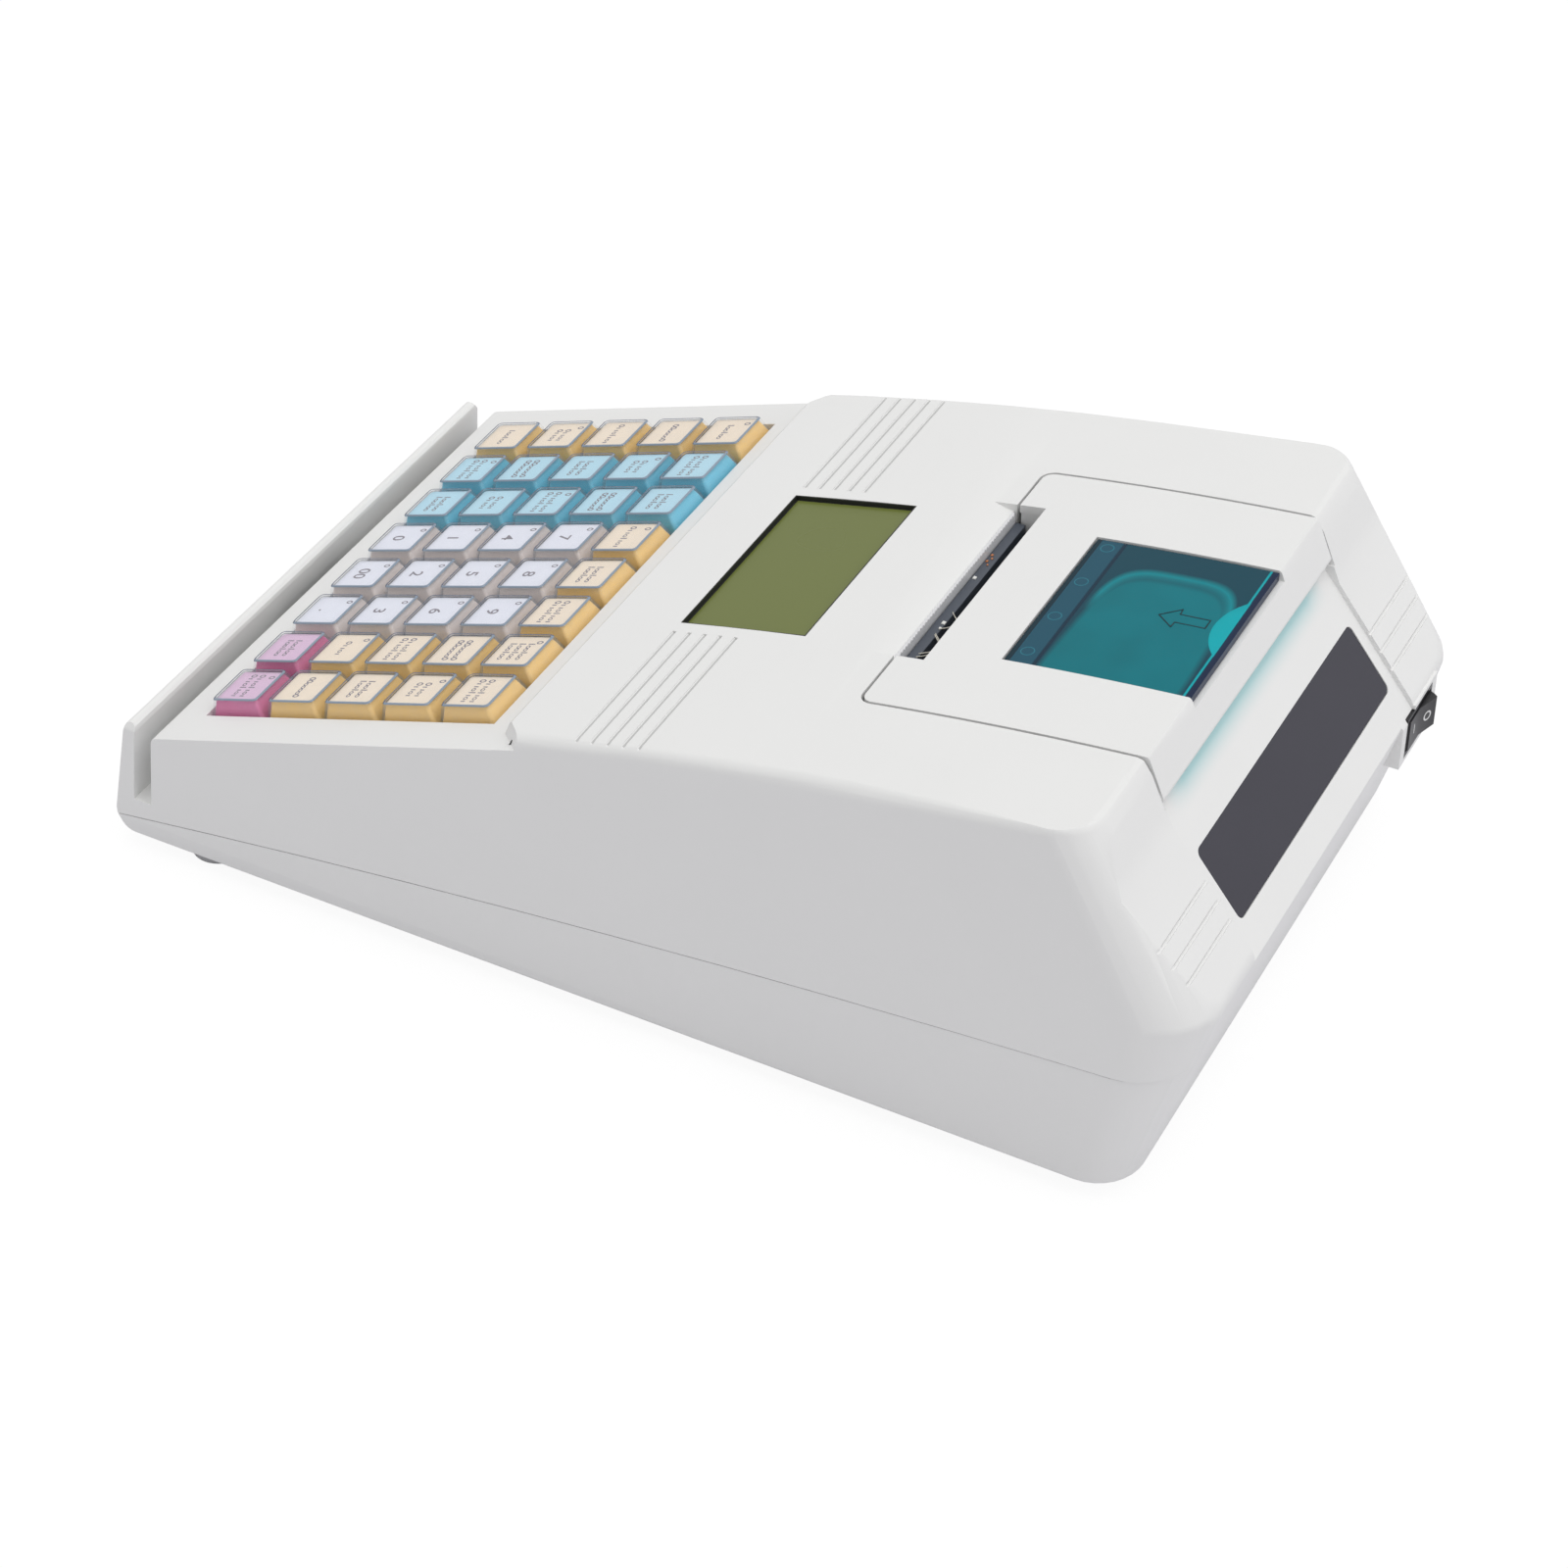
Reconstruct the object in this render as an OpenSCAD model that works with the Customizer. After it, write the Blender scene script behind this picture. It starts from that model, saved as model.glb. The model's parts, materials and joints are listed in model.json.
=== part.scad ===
// Counter-top ticket register: a two-part moulded case with a card slot along
// its front, forty sprung keys, an operator display, a ticket printer under a
// hinged lid, a customer display on the sloped back and a power switch.
// Millimetres. X runs to the operator's right, Y to the rear, Z up.
// The origin is on the counter, under the middle of the register.

/* [Case] */
// Width of the deck at its front edge
deck_w = 176.2; // [172:0.2:182]
// Angle by which each side leans in, going up
side_draft = 3; // [2:0.25:4]
// Angle by which each side spreads, going back
side_toe = 0.9; // [0.4:0.1:1.4]
// Wall thickness of the mouldings
wall = 2.5; // [2:0.1:2.8]
// Rounding of the long edges
edge_r = 3.2; // [3:0.1:4.5]
// Height of the parting line at the front
seam_front_z = 5.1; // [4:0.1:7]
// Rise of the parting line for each millimetre at the front
seam_slope = 0.148; // [0.14:0.002:0.155]
// Radius of the gently arched parting line
seam_r = 3500; // [3200:100:4500]
// Height of the rubber feet below the case
foot_h = 5; // [3:0.5:6]
// Radius of a rubber foot
foot_r = 8; // [5:0.5:9]
// Inset of the front feet from the front of the case
foot_front = 25; // [20:1:34]
// Inset of the rear feet from the rear of the case
foot_rear = 42; // [34:1:60]
// Distance of the feet from the middle
foot_x = 78; // [60:1:79]

/* [Card slot] */
// Height of the slot floor above the case bottom
slot_floor_z = 12.3; // [11:0.1:14]
// Width of the card slot
card_gap = 5.6; // [4.5:0.1:7]
// Thickness of the rail at the slot floor
rail_base = 6.3; // [5.5:0.1:7]
// Thickness of the rail at its top
rail_top = 3.4; // [3:0.1:4]
// Height of the rail above the slot floor
rail_h = 24.7; // [20:0.1:27]
// Backward lean of the rail and of the deck front
front_lean = 5; // [3:0.5:8]

/* [Deck] */
// Slope of the keyboard deck
deck_angle = 18.2; // [16:0.1:19]
// Depth of the deck, measured level
deck_len = 106.4; // [105:0.1:112]
// Height of the front edge of the deck above the case bottom
deck_front_z = 34.8; // [34:0.1:37]

/* [Keyboard] */
// Columns of keys
key_cols = 8; // [8:1:8]
// Rows of keys
key_rows = 5; // [5:1:5]
// Distance between key centres
key_pitch = 19.05; // [19:0.05:19.2]
// Side of a key's top face
key_top = 15; // [13:0.1:16]
// Side of a key where it enters the deck
key_base = 18; // [17:0.1:18.4]
// Height of the key tops above the deck
key_proud = 3.9; // [3.2:0.1:5]
// Travel of a key
key_travel = 3; // [2:0.1:3.4]
// Side of the square key post
post_w = 6; // [5:0.1:8]
// Distance from the deck front edge to the key opening, along the deck
key_margin = 10.5; // [9:0.1:11.5]

/* [Console] */
// Rise of the step from the deck to the console
step_rise = 5; // [4:0.1:6]
// Depth of the step
step_run = 2; // [1.5:0.1:3]
// Corner cut off each end of the step, in plan
step_corner = 7.5; // [5:0.5:9]
// Slope of the console top where it starts
top_angle = 15; // [14:0.1:16]
// Radius of the arched console top
top_r = 920; // [850:10:1000]
// Depth of the console top, measured level
console_len = 159.2; // [157:0.1:162]
// Number of trim grooves on each side of the display
groove_n = 5; // [3:1:5]
// Spacing of the trim grooves
groove_pitch = 4.43; // [4.2:0.05:4.6]
// Width of a trim groove
groove_w = 1.3; // [0.8:0.1:1.6]
// Depth of a trim groove
groove_depth = 0.65; // [0.4:0.05:0.8]
// Inner end of the trim grooves from the middle
groove_in = 36; // [35:0.5:38]

/* [Operator display] */
// Width of the visible display glass
lcd_w = 64; // [60:0.5:66]
// Length of the visible display glass, along the slope
lcd_len = 36.5; // [34:0.5:38]
// Distance from the top of the step to the glass, measured level
lcd_from_step = 21.9; // [20:0.1:23]
// Depth of the glass below the console top
lcd_depth = 1.3; // [1:0.1:1.4]
// Thickness of the glass
glass_t = 1.5; // [1:0.1:2]
// Margin of the glass hidden under the case
glass_margin = 3; // [2:0.5:4]

/* [Printer] */
// Width of the printer lid
lid_w = 109.4; // [108:0.1:114]
// Gap around the lid
lid_gap = 0.8; // [0.4:0.1:1.2]
// Distance from the top of the step to the front of the lid, measured level
lid_from_step = 84; // [83:0.1:87]
// Thickness of the lid
lid_t = 2.4; // [2:0.1:3]
// Rounding of the lid's front corners
lid_corner_r = 3; // [2:0.5:9]
// Height of the crease above the lid's rear lower edge
lid_drop = 12.74; // [11.74:0.02:13.74]
// Width of the paper exit
exit_w = 72.8; // [68:0.2:74]
// Offset of the paper exit from the middle, to the operator's left
exit_shift = 1.8; // [0:0.1:3]
// Distance from the front of the lid to the rear edge of the paper exit
exit_len = 7.3; // [6:0.1:8]
// Depth of the ramp in front of the blade
ramp_depth = 2.2; // [1.6:0.1:2.6]
// Length of the ramp in front of the blade
ramp_len = 5.8; // [4:0.1:7]
// Width of the paper window
window_w = 57; // [54:0.1:58]
// Gap around the paper window
window_gap = 0.5; // [0.35:0.05:0.7]
// Distance from the front of the lid to the window opening
window_from_front = 25.6; // [24:0.1:27]
// Thickness of the paper window
window_t = 2.2; // [2:0.1:2.6]
// Room at each end of the paper roll
roll_gap = 1; // [0.5:0.25:1.5]
// Radius of the platen roller
platen_r = 5; // [4.5:0.1:5.5]
// Radius of the platen shaft
platen_shaft_r = 2.5; // [2:0.1:3]
// Radius of the round bead along the lid's rear edge
bead_r = 1.5; // [1.4:0.1:1.7]
// Radius of the lid hinge pins
hinge_r = 1; // [0.9:0.05:1.1]
// Running clearance of pins and shafts
run_gap = 0.05; // [0.03:0.01:0.08]

/* [Rear] */
// Slope of the short face behind the lid
steep_angle = 68; // [64:0.5:70]
// Drop of the short face behind the lid
steep_drop = 18.3; // [17.5:0.1:19]
// Slope of the customer display face
slope_angle = 52.5; // [50:0.5:54]
// Height of the middle of the rear nose above the case bottom
nose_z = 52; // [50:0.5:54]
// Rounding of the rear nose
nose_r = 6; // [5:0.5:7]
// How far the bottom edge lies in front of the rear nose
rear_tuck = 14.3; // [12:0.1:17]
// Plan rounding of the rear corners at the top
corner_top_r = 11; // [9:0.5:14]
// Plan rounding of the rear corners at the nose and the parting line
corner_r = 17; // [15:0.5:20]
// Plan rounding of the rear corners at the bottom
corner_bottom_r = 13; // [10:0.5:15]
// Width of the customer display pane
pane_w = 101.6; // [96:0.2:103]
// Length of the customer display pane, along the slope
pane_len = 20.9; // [19:0.1:22]
// Distance from the break of the back to the pane, along the slope
pane_from_break = 9.7; // [9:0.1:11]
// Rounding of the pane's corners
pane_r = 2; // [1:0.1:4]
// Thickness of the customer display pane
pane_t = 2.3; // [1.8:0.1:2.4]
// Depth of the recess around the pane
recess_depth = 1.3; // [1:0.1:1.6]
// Number of rear trim grooves on each side
rear_groove_n = 3; // [2:1:3]
// Spacing of the rear trim grooves, along the slope
rear_groove_pitch = 5.7; // [5:0.1:6]

/* [Power switch] */
// Distance of the switch from the middle, to the operator's left
switch_x = 59; // [40:1:60]
// Height of the middle of the switch above the case bottom
switch_z = 45.9; // [45.5:0.1:47]
// Width of the moulded pad round the switch
pad_w = 25.2; // [23:0.2:27]
// Height of the moulded pad round the switch
pad_h = 15.2; // [13:0.2:15.4]
// How far the pad stands out past the nose
pad_out = 0.6; // [0.2:0.1:1.5]
// Radius of the rocker's rounded ends about its pivot
rocker_r = 8.3; // [7.5:0.1:8.8]
// Height of the rocker face
rocker_h = 9.2; // [8:0.1:10]
// How far the rocker's tips stand out of the pad, level
rocker_proud = 1.5; // [1.2:0.1:2]
// Depth of the rocker's pivot behind the pad face
pivot_depth = 3; // [2.5:0.1:4]
// Angle of the rocker from level in each position
rocker_tilt = 9; // [7:0.5:11]

/* [Hidden] */
KEY_NODES = [for (r = [1 : key_rows]) for (c = [1 : key_cols]) str("key_r", r, "_c", c)];
EPS = 0.01;
FIT = 0.3;
WIDE = 300;

// Front of the case in the side view: y from the front, z from the case bottom
rail_top_y = rail_base - rail_top + rail_h * tan(front_lean);
rail_top_z = slot_floor_z + rail_h;
deck_foot_y = rail_base + card_gap;
deck_front_y = deck_foot_y + (deck_front_z - slot_floor_z) * tan(front_lean);
step_y = deck_front_y + deck_len;
function deck_z(y) = deck_front_z + (y - deck_front_y) * tan(deck_angle);

// Console top: one large arc that starts at the top of the step
arc_y = step_y + step_run;
arc_mid_y = arc_y + top_r * sin(top_angle);
arc_mid_z = deck_z(step_y) + step_rise - top_r * cos(top_angle);
crease_y = arc_y + console_len;
function top_z(y, d = 0) = arc_mid_z + sqrt(pow(top_r - d, 2) - pow(y - arc_mid_y, 2));
function top_slope(y) = asin((arc_mid_y - y) / top_r);

// Back of the case: short steep face, display slope, nose and tucked-in wall
break_y = crease_y + steep_drop / tan(steep_angle);
break_z = top_z(crease_y) - steep_drop;
slope_drop = break_z - nose_r * cos(slope_angle) - nose_z;
nose_y = break_y + slope_drop / tan(slope_angle) - nose_r * sin(slope_angle);
case_l = nose_y + nose_r;
bottom_y = case_l - rear_tuck;

// Side walls: flat, drafted and spread; d is the distance inside them
function side_x(y, z, d = 0) = deck_w / 2 - d - (z - deck_front_z) * tan(side_draft)
    + (y - deck_front_y) * tan(side_toe);
function seam_z(y) = seam_front_z + seam_slope * y - y * y / (2 * seam_r);
seam_steps = 10;
seam_gap = 0.3;
low_draft = 0.6;
skin = 0.15;
chin_r = 4.5;
rail_end = 1.2;

// Keyboard frame
field_w = key_cols * key_pitch + 0.4;
field_l = key_rows * key_pitch + 0.25;
field_mid = key_margin + field_l / 2;
key_skirt = 4.5;
plate_drop = key_skirt + key_travel + 3.5;
plate_t = 2;
collar_t = 1.6;
key_corner = 1.2;

// Printer bay
lid_y = arc_y + lid_from_step;
lid_bottom_z = top_z(crease_y) - lid_drop;
bay_half = lid_w / 2 + lid_gap;
tear_t = 0.8;
tear_h = 7;
exit_y = lid_y - lid_gap - tear_t;
exit_end_y = lid_y + exit_len;
notch_wall = 1.6;
notch_skirt = 7;
window_y = lid_y + window_from_front;
window_half = window_w / 2 + window_gap;
window_drop = 0.4;
tab_r = 18;
tab_t = 1.2;
frame_gap = 5.3;
frame_half = bay_half - frame_gap;
frame_t = 2.4;
bay_wall = 1.8;
channel_half = lid_w / 2 + 0.2;
bay_floor_z = lid_bottom_z - 26;
hinge_z = lid_bottom_z + bead_r;
hinge_y = crease_y + (top_z(crease_y) - hinge_z) / tan(steep_angle) - bead_r / sin(steep_angle);
flap_pin_r = 0.8;
flap_y = window_y + window_gap + 1.6;
flap_z = top_z(flap_y) - window_drop - window_t / 2;
platen_y = lid_y + 13.1;
platen_z = lid_bottom_z - 6.4;
bucket_t = 1.8;
bucket_gap = 0.75;
bucket_w = window_w + 2 * roll_gap;
bucket_r = (crease_y - platen_y - platen_r) / 2 - bucket_gap - bucket_t;
bucket_y = (crease_y + platen_y + platen_r) / 2;
bucket_z = lid_bottom_z - 22;
bucket_foot = 4;
frame_z = bucket_z - bucket_r - bucket_t - 2;
post_low_r = 4;

// Switch on the back
pad_y = case_l + pad_out;
pivot_y = pad_y - pivot_depth;
pivot_pin_r = 0.9;
rocker_dip = 1.1;
rocker_back = 2;
tip_reach = pivot_depth + rocker_proud;
tip_x = sqrt(pow(rocker_r, 2) - pow(tip_reach, 2));
total_l = pivot_y + tip_reach * cos(rocker_tilt) + tip_x * sin(rocker_tilt);

// Screw posts that join the two shells: x and y of the ones on the right
post_r = 4;
POSTS = [[field_w / 2 + collar_t + FIT + post_r, 42], [82, 196], [63, case_l - 24]];
screw_r = 1.5;

// Moves from the working frame to the origin on the counter
module place() {
    translate([0, -total_l / 2, foot_h]) children();
}

// Frame on the deck: x to the right, y up the slope, z out of the deck
module on_deck() {
    translate([0, deck_front_y, deck_front_z]) rotate([deck_angle, 0, 0]) children();
}

// Frame on the console top at a distance from the front
module on_top(y) {
    translate([0, y, top_z(y)]) rotate([top_slope(y), 0, 0]) children();
}

// Frame on the display slope: y down the slope from the break, z out of it
module on_slope() {
    translate([0, break_y, break_z]) rotate([-slope_angle, 0, 0]) children();
}

// Extrudes a side-view outline across the middle
module across(w) {
    rotate([90, 0, 90]) translate([0, 0, -w / 2]) linear_extrude(w) children();
}

module both_sides() {
    children();
    mirror([1, 0, 0]) children();
}

// Flat plate outline with rounded corners
module round_rect(w, l, r) {
    square([w - 2 * r, l], center = true);
    square([w, l - 2 * r], center = true);
    for (x = [-1, 1]) for (y = [-1, 1]) translate([x * (w / 2 - r), y * (l / 2 - r)]) circle(r, $fn = 32);
}

module box_mid(size) {
    translate([-size[0] / 2, -size[1] / 2, 0]) cube(size);
}

// ---- Outer form of the case ----

// A point on each side wall
module edge_point(y, z, d, cut = 0) {
    both_sides() translate([side_x(y, z, d) - EPS - cut, y, z]) cube(EPS);
}

// Quarter of a ring whose outside is rounded, for a rear corner seen from above
module corner_ring(y, z, big, r, d) {
    both_sides() translate([side_x(y, z, d) - big, y - big, z])
        rotate_extrude(angle = 90, $fn = 32) translate([big - r, 0]) circle(r, $fn = 16);
}

// Sides, rounded top edges and rear corners, d inside the surface
module envelope(d) {
    r = max(edge_r - d, 0.6);
    y0 = arc_y - 6;
    y1 = crease_y - corner_top_r - 3;
    steps = 7;
    hull() {
        for (i = [0 : steps]) {
            y = y0 + (y1 - y0) * i / steps;
            z = top_z(y, d + r - skin);
            both_sides() translate([side_x(y, z, d) - r, y, z]) rotate([90, 0, 0]) cylinder(h = EPS, r = r, $fn = 16);
        }
        corner_ring(crease_y + skin - d / sin(steep_angle), top_z(crease_y, d + r - skin), corner_top_r - d, r, d);
        corner_ring(case_l + skin - d, nose_z, corner_r - d, nose_r - d, d);
        corner_ring(bottom_y + skin - d, -4, corner_bottom_r - d, 1, d);
        edge_point(-1, rail_top_z + 2, d);
        edge_point(-1, -5, d);
    }
}

// Points of an arc in a side view
function arc_points(c, r, a0, a1, n) =
    [for (i = [0 : n]) let (a = a0 + (a1 - a0) * i / n) [c[0] + r * cos(a), c[1] + r * sin(a)]];

// Side view of the upper case with its rail, slot, deck, step, console and back
module case_profile() {
    r = rail_top / 2;
    steps = 14;
    y_end = crease_y - 2.6;
    polygon(concat(
        [[0.6, -5], [0, seam_front_z + 2.5]],
        arc_points([rail_top_y + r, rail_top_z - r], r, 170, -front_lean, 5),
        [[rail_base, slot_floor_z], [deck_foot_y, slot_floor_z], [deck_front_y - 0.1, deck_front_z - 1.1],
         [deck_front_y + 0.25, deck_front_z - 0.3], [deck_front_y + 1.1, deck_z(deck_front_y + 1.1)],
         [step_y, deck_z(step_y)], [arc_y - 0.3, top_z(arc_y) - 0.9], [arc_y + 0.7, top_z(arc_y + 0.7)]],
        [for (i = [1 : steps]) let (y = arc_y + (y_end - arc_y) * i / steps) [y, top_z(y)]],
        [[crease_y - 1, top_z(crease_y) - 0.55], [crease_y + 0.5, top_z(crease_y) - 1.9],
         [break_y, break_z]],
        arc_points([nose_y, nose_z], nose_r, 90 - slope_angle, -16, 6),
        [[bottom_y - 1.2, -5]]));
}

// Side view of the hollow, d inside the case
module hollow_profile(d) {
    steps = 8;
    front_y = deck_foot_y + d / cos(front_lean);
    lean = tan(front_lean);
    y1 = deck_front_y + d + 0.4;
    y_end = crease_y - d - 1.5;
    polygon(concat(
        [[front_y - (slot_floor_z + 5) * lean, -5], [front_y + (deck_front_z - d - slot_floor_z) * lean, deck_front_z - d],
         [y1 + 1, deck_z(y1 + 1) - d / cos(deck_angle)], [step_y + d, deck_z(step_y + d) - d / cos(deck_angle)],
         [arc_y + d, top_z(arc_y + d, d) - 0.5]],
        [for (i = [0 : steps]) let (y = arc_y + d + 1 + (y_end - arc_y - d - 1) * i / steps) [y, top_z(y, d)]],
        [[crease_y - d - 0.2, top_z(crease_y, d) - 1], [break_y - d - 0.2, break_z - 0.4 * d],
         [nose_y + nose_r - d - 0.8, nose_z + 2], [nose_y + nose_r - d - 1, nose_z - 3], [bottom_y - 1.2 - d, -5]]));
}

module inside(d) {
    intersection() {
        across(WIDE) hollow_profile(d);
        envelope(d);
    }
}

// Corner cut off the front of the console, at 45 degrees in plan and down to the deck
module step_corner_cut() {
    lean = (step_run * cos(deck_angle) + step_rise * sin(deck_angle))
        / (step_rise * cos(deck_angle) - step_run * sin(deck_angle));
    up = step_rise + 6;
    x0 = side_x(step_y, deck_z(step_y)) - step_corner;
    both_sides() on_deck() hull() for (k = [0, 1])
        translate([0, deck_len / cos(deck_angle) + k * up * lean, 0.02 + k * up]) linear_extrude(EPS)
            polygon([[x0 - 2, -2], [x0 + 20, -2], [x0 + 20, 20]]);
}

// Everything below the parting line
module below_seam(gap) {
    across(WIDE) polygon(concat(
        [for (i = [0 : seam_steps]) let (y = case_l * i / seam_steps) [y, seam_z(y) + gap]],
        [[case_l + 5, seam_z(case_l) + gap], [case_l + 5, -20], [-20, -20], [-20, seam_front_z + gap]]));
}

// One trim groove: a channel from a to b along x
module groove(a, b) {
    hull() for (x = [a, b]) translate([x, 0, 0]) rotate([0, 90, 0]) cylinder(h = EPS, r = groove_w / 2, $fn = 6);
}

// Plan of the printer bay, grown by a margin on every side
module bay_plan(grow) {
    half = bay_half + grow;
    r = lid_corner_r + lid_gap + grow;
    front = lid_y - lid_gap - grow;
    translate([-half, front + r]) square([2 * half, case_l]);
    translate([-half + r, front]) square([2 * (half - r), case_l]);
    for (s = [-1, 1]) translate([s * (half - r), front + r]) circle(r, $fn = 32);
}

// Ramp in the console top that leads to the blade, and the rebate that holds the blade
module exit_ramp() {
    y0 = exit_y - ramp_len;
    z1 = top_z(exit_y) - ramp_depth;
    fall = (top_z(y0) - z1) / ramp_len;
    translate([-exit_shift, 0, 0]) {
        across(exit_w) polygon([[y0 - 4, top_z(y0) + 4 * fall], [exit_y + 0.5, z1 - 0.5 * fall],
                                [exit_y + 2, z1 - 0.5 * fall], [exit_y + 2, z1 + 9], [y0 - 4, z1 + 9]]);
        translate([0, exit_y, z1 - tear_h - 0.3]) box_front([exit_w, tear_t + 0.2, tear_h + 2]);
    }
}

// Thicker wall under the ramp
module ramp_backing() {
    y0 = exit_y - ramp_len - 3;
    y1 = lid_y - lid_gap - bay_wall / 2;
    deep = ramp_depth + wall;
    translate([-exit_shift, 0, 0]) across(exit_w + 2 * wall)
        polygon([[y0, top_z(y0)], [y1, top_z(y1)], [y1, top_z(y1) - deep], [y0, top_z(y0) - wall]]);
}

module shell_posts(z0, z1) {
    for (p = POSTS) both_sides() translate([p[0], p[1], z0]) cylinder(h = z1, r = post_r, $fn = 24);
}

// Middle of the operator display, from the front
lcd_y = arc_y + lcd_from_step + lcd_len / 2 * cos(top_angle);
glass_w = lcd_w + 2 * glass_margin;
glass_l = lcd_len + 2 * glass_margin;
slope_len = slope_drop / sin(slope_angle);
pane_mid = pane_from_break + pane_len / 2;
reader_w = 34;
reader_h = 11;
reader_z = 4;
reader_d = 7;
reader_rim = 2.5;
body_w = 2 * rocker_r + 1.6;
body_h = rocker_h + 3.2;
body_d = 12;

// Walls, collars and posts inside the upper case
module upper_walls() {
    intersection() {
        union() {
            translate([0, 0, bay_floor_z]) linear_extrude(60) difference() {
                bay_plan(bay_wall);
                bay_plan(0);
            }
            ramp_backing();
            translate([0, 0, seam_front_z]) shell_posts(0, 120);
            on_deck() translate([0, field_mid, -plate_drop])
                box_mid([field_w + 2 * collar_t, field_l + 2 * collar_t, plate_drop - wall / 2]);
            on_slope() translate([0, slope_len / 2 - 4, -recess_depth - wall])
                box_mid([2 * bay_half + bay_wall, slope_len + 12, wall]);
            translate([-switch_x, pad_y - 8, switch_z - pad_h / 2]) box_mid([pad_w, 10, pad_h]);
        }
        inside(wall / 2);
    }
}

module upper_openings() {
    // key field
    on_deck() translate([0, field_mid, -plate_drop - 1]) box_mid([field_w, field_l, plate_drop + 9]);
    // operator display: visible opening and the pocket that holds the glass from below
    on_top(lcd_y) {
        translate([0, 0, -10]) box_mid([lcd_w, lcd_len, 20]);
        translate([0, 0, -10]) box_mid([glass_w + 2 * FIT, glass_l + 2 * FIT, 10 - lcd_depth]);
    }
    // trim grooves on the top
    for (i = [0 : groove_n - 1]) {
        y = arc_y + lcd_from_step + 0.3 + i * groove_pitch;
        both_sides() translate([0, y, top_z(y) + groove_w / 2 - groove_depth]) groove(groove_in, deck_w / 2 + 6);
    }
    exit_ramp();
    // printer bay and the sockets of its lid
    translate([0, 0, lid_bottom_z - lid_gap]) linear_extrude(60) bay_plan(0);
    both_sides() translate([bay_half - 1, hinge_y, hinge_z]) rotate([0, 90, 0])
        cylinder(h = 1 + bay_wall - 0.2, r = hinge_r + run_gap + 0.03, $fn = 64);
    // recess of the customer display, its opening and the grooves beside it
    on_slope() translate([0, -7.4, -recess_depth]) box_front([2 * channel_half, slope_len + 24, 30]);
    on_slope() translate([0, pane_mid, -20]) linear_extrude(30) round_rect(pane_w + FIT, pane_len + FIT, pane_r);
    for (i = [0 : rear_groove_n - 1])
        both_sides() on_slope() translate([0, pane_from_break + 6 + i * rear_groove_pitch, groove_w / 2 - groove_depth])
            groove(bay_half - 1, deck_w / 2 + 9);
    // power switch
    translate([-switch_x, pad_y, switch_z - body_h / 2 - FIT / 2]) box_mid([body_w + FIT, 2 * body_d + 10, body_h + FIT]);
    // card reader window in the wall of the slot
    translate([0, deck_foot_y, slot_floor_z]) rotate([-front_lean, 0, 0])
        translate([0, -1, reader_z - FIT]) box_front([reader_w + 2 * FIT, wall + 4, reader_h + 2 * FIT]);
    // screw bores
    for (p = POSTS) both_sides() translate([p[0], p[1], -1])
        cylinder(h = seam_z(p[1]) + 11, r = screw_r + 0.1, $fn = 24);
}

module upper_case() {
    place() color([0.91, 0.91, 0.9]) difference() {
        union() {
            difference() {
                union() {
                    intersection() {
                        across(WIDE) case_profile();
                        envelope(0);
                    }
                    translate([-switch_x, pad_y - 6, switch_z - pad_h / 2]) box_front([pad_w, 6, pad_h]);
                }
                inside(wall);
                // the space under the card slot
                translate([0, wall + 1.5, -6]) box_front([2 * side_x(0, 0) - 3 * wall, deck_foot_y, slot_floor_z + 3.5]);
                step_corner_cut();
                rail_end_cut();
            }
            upper_walls();
        }
        below_seam(seam_gap);
        upper_openings();
    }
}

// Small slope at the top of each end of the rail
module rail_end_cut() {
    both_sides() translate([side_x(0, rail_top_z) - rail_end, -5, rail_top_z]) rotate([0, -30, 0])
        translate([0, 0, -12]) cube([12, 5 + deck_foot_y - 0.5, 30]);
}

module box_front(size) {
    translate([-size[0] / 2, 0, 0]) cube(size);
}

// ---- Lower case ----

module low_ends(y, z, r, d) {
    both_sides() translate([side_x(y, seam_z(y), d) - low_draft - 1, y, z])
        rotate([0, 90, 0]) cylinder(h = 1, r = r, $fn = 24);
}

module lower_form(d) {
    r = chin_r - d;
    hull() {
        for (i = [0 : seam_steps - 2]) {
            y = case_l * i / seam_steps;
            edge_point(max(y, 0.15 + d), seam_z(y) + 0.3, d);
        }
        edge_point(0.4 + d, seam_front_z + 6, d);
        low_ends(chin_r + 0.4, chin_r, r, d);
        low_ends(bottom_y - corner_bottom_r, 1 + d, 1, d);
        corner_ring(case_l - d, nose_z, corner_r - d, nose_r - d, d);
        corner_ring(bottom_y - d, 1 + d, corner_bottom_r - d, 1, d + low_draft);
    }
}

module lower_case() {
    place() color([0.89, 0.89, 0.88]) difference() {
        union() {
            intersection() {
                union() {
                    difference() {
                        lower_form(0);
                        lower_form(wall);
                    }
                    translate([0, 0, wall / 2]) shell_posts(0, 90);
                }
                below_seam(0);
            }
            board_posts(wall / 2);
            frame_posts(wall / 2);
            for (p = POSTS) for (s = [-1, 1]) post_gusset(p, s);
        }
        for (p = POSTS) both_sides() translate([p[0], p[1], -1]) {
            cylinder(h = seam_z(p[1]) + 4, r = screw_r + 0.2, $fn = 24);
            cylinder(h = 1 + head_seat_z(p), r = head_r + 0.2, $fn = 32);
        }
    }
}

// Rib from a screw post to the floor
module post_gusset(p, s) {
    lean = p[1] > case_l / 2 ? -1 : 1;
    hull() {
        translate([s * p[0] - 0.8, p[1] + lean * 3, wall / 2]) cube([1.6, EPS, seam_z(p[1]) - wall - 2]);
        translate([s * p[0] - 0.8, p[1] + lean * 12, wall / 2]) cube([1.6, EPS, wall]);
    }
}

// Screws: pan heads up inside the posts of the lower case
head_r = 2.6;
head_t = 2;
function head_seat_z(p) = max(seam_z(p[1]) - 5, head_t + 1);

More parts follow.
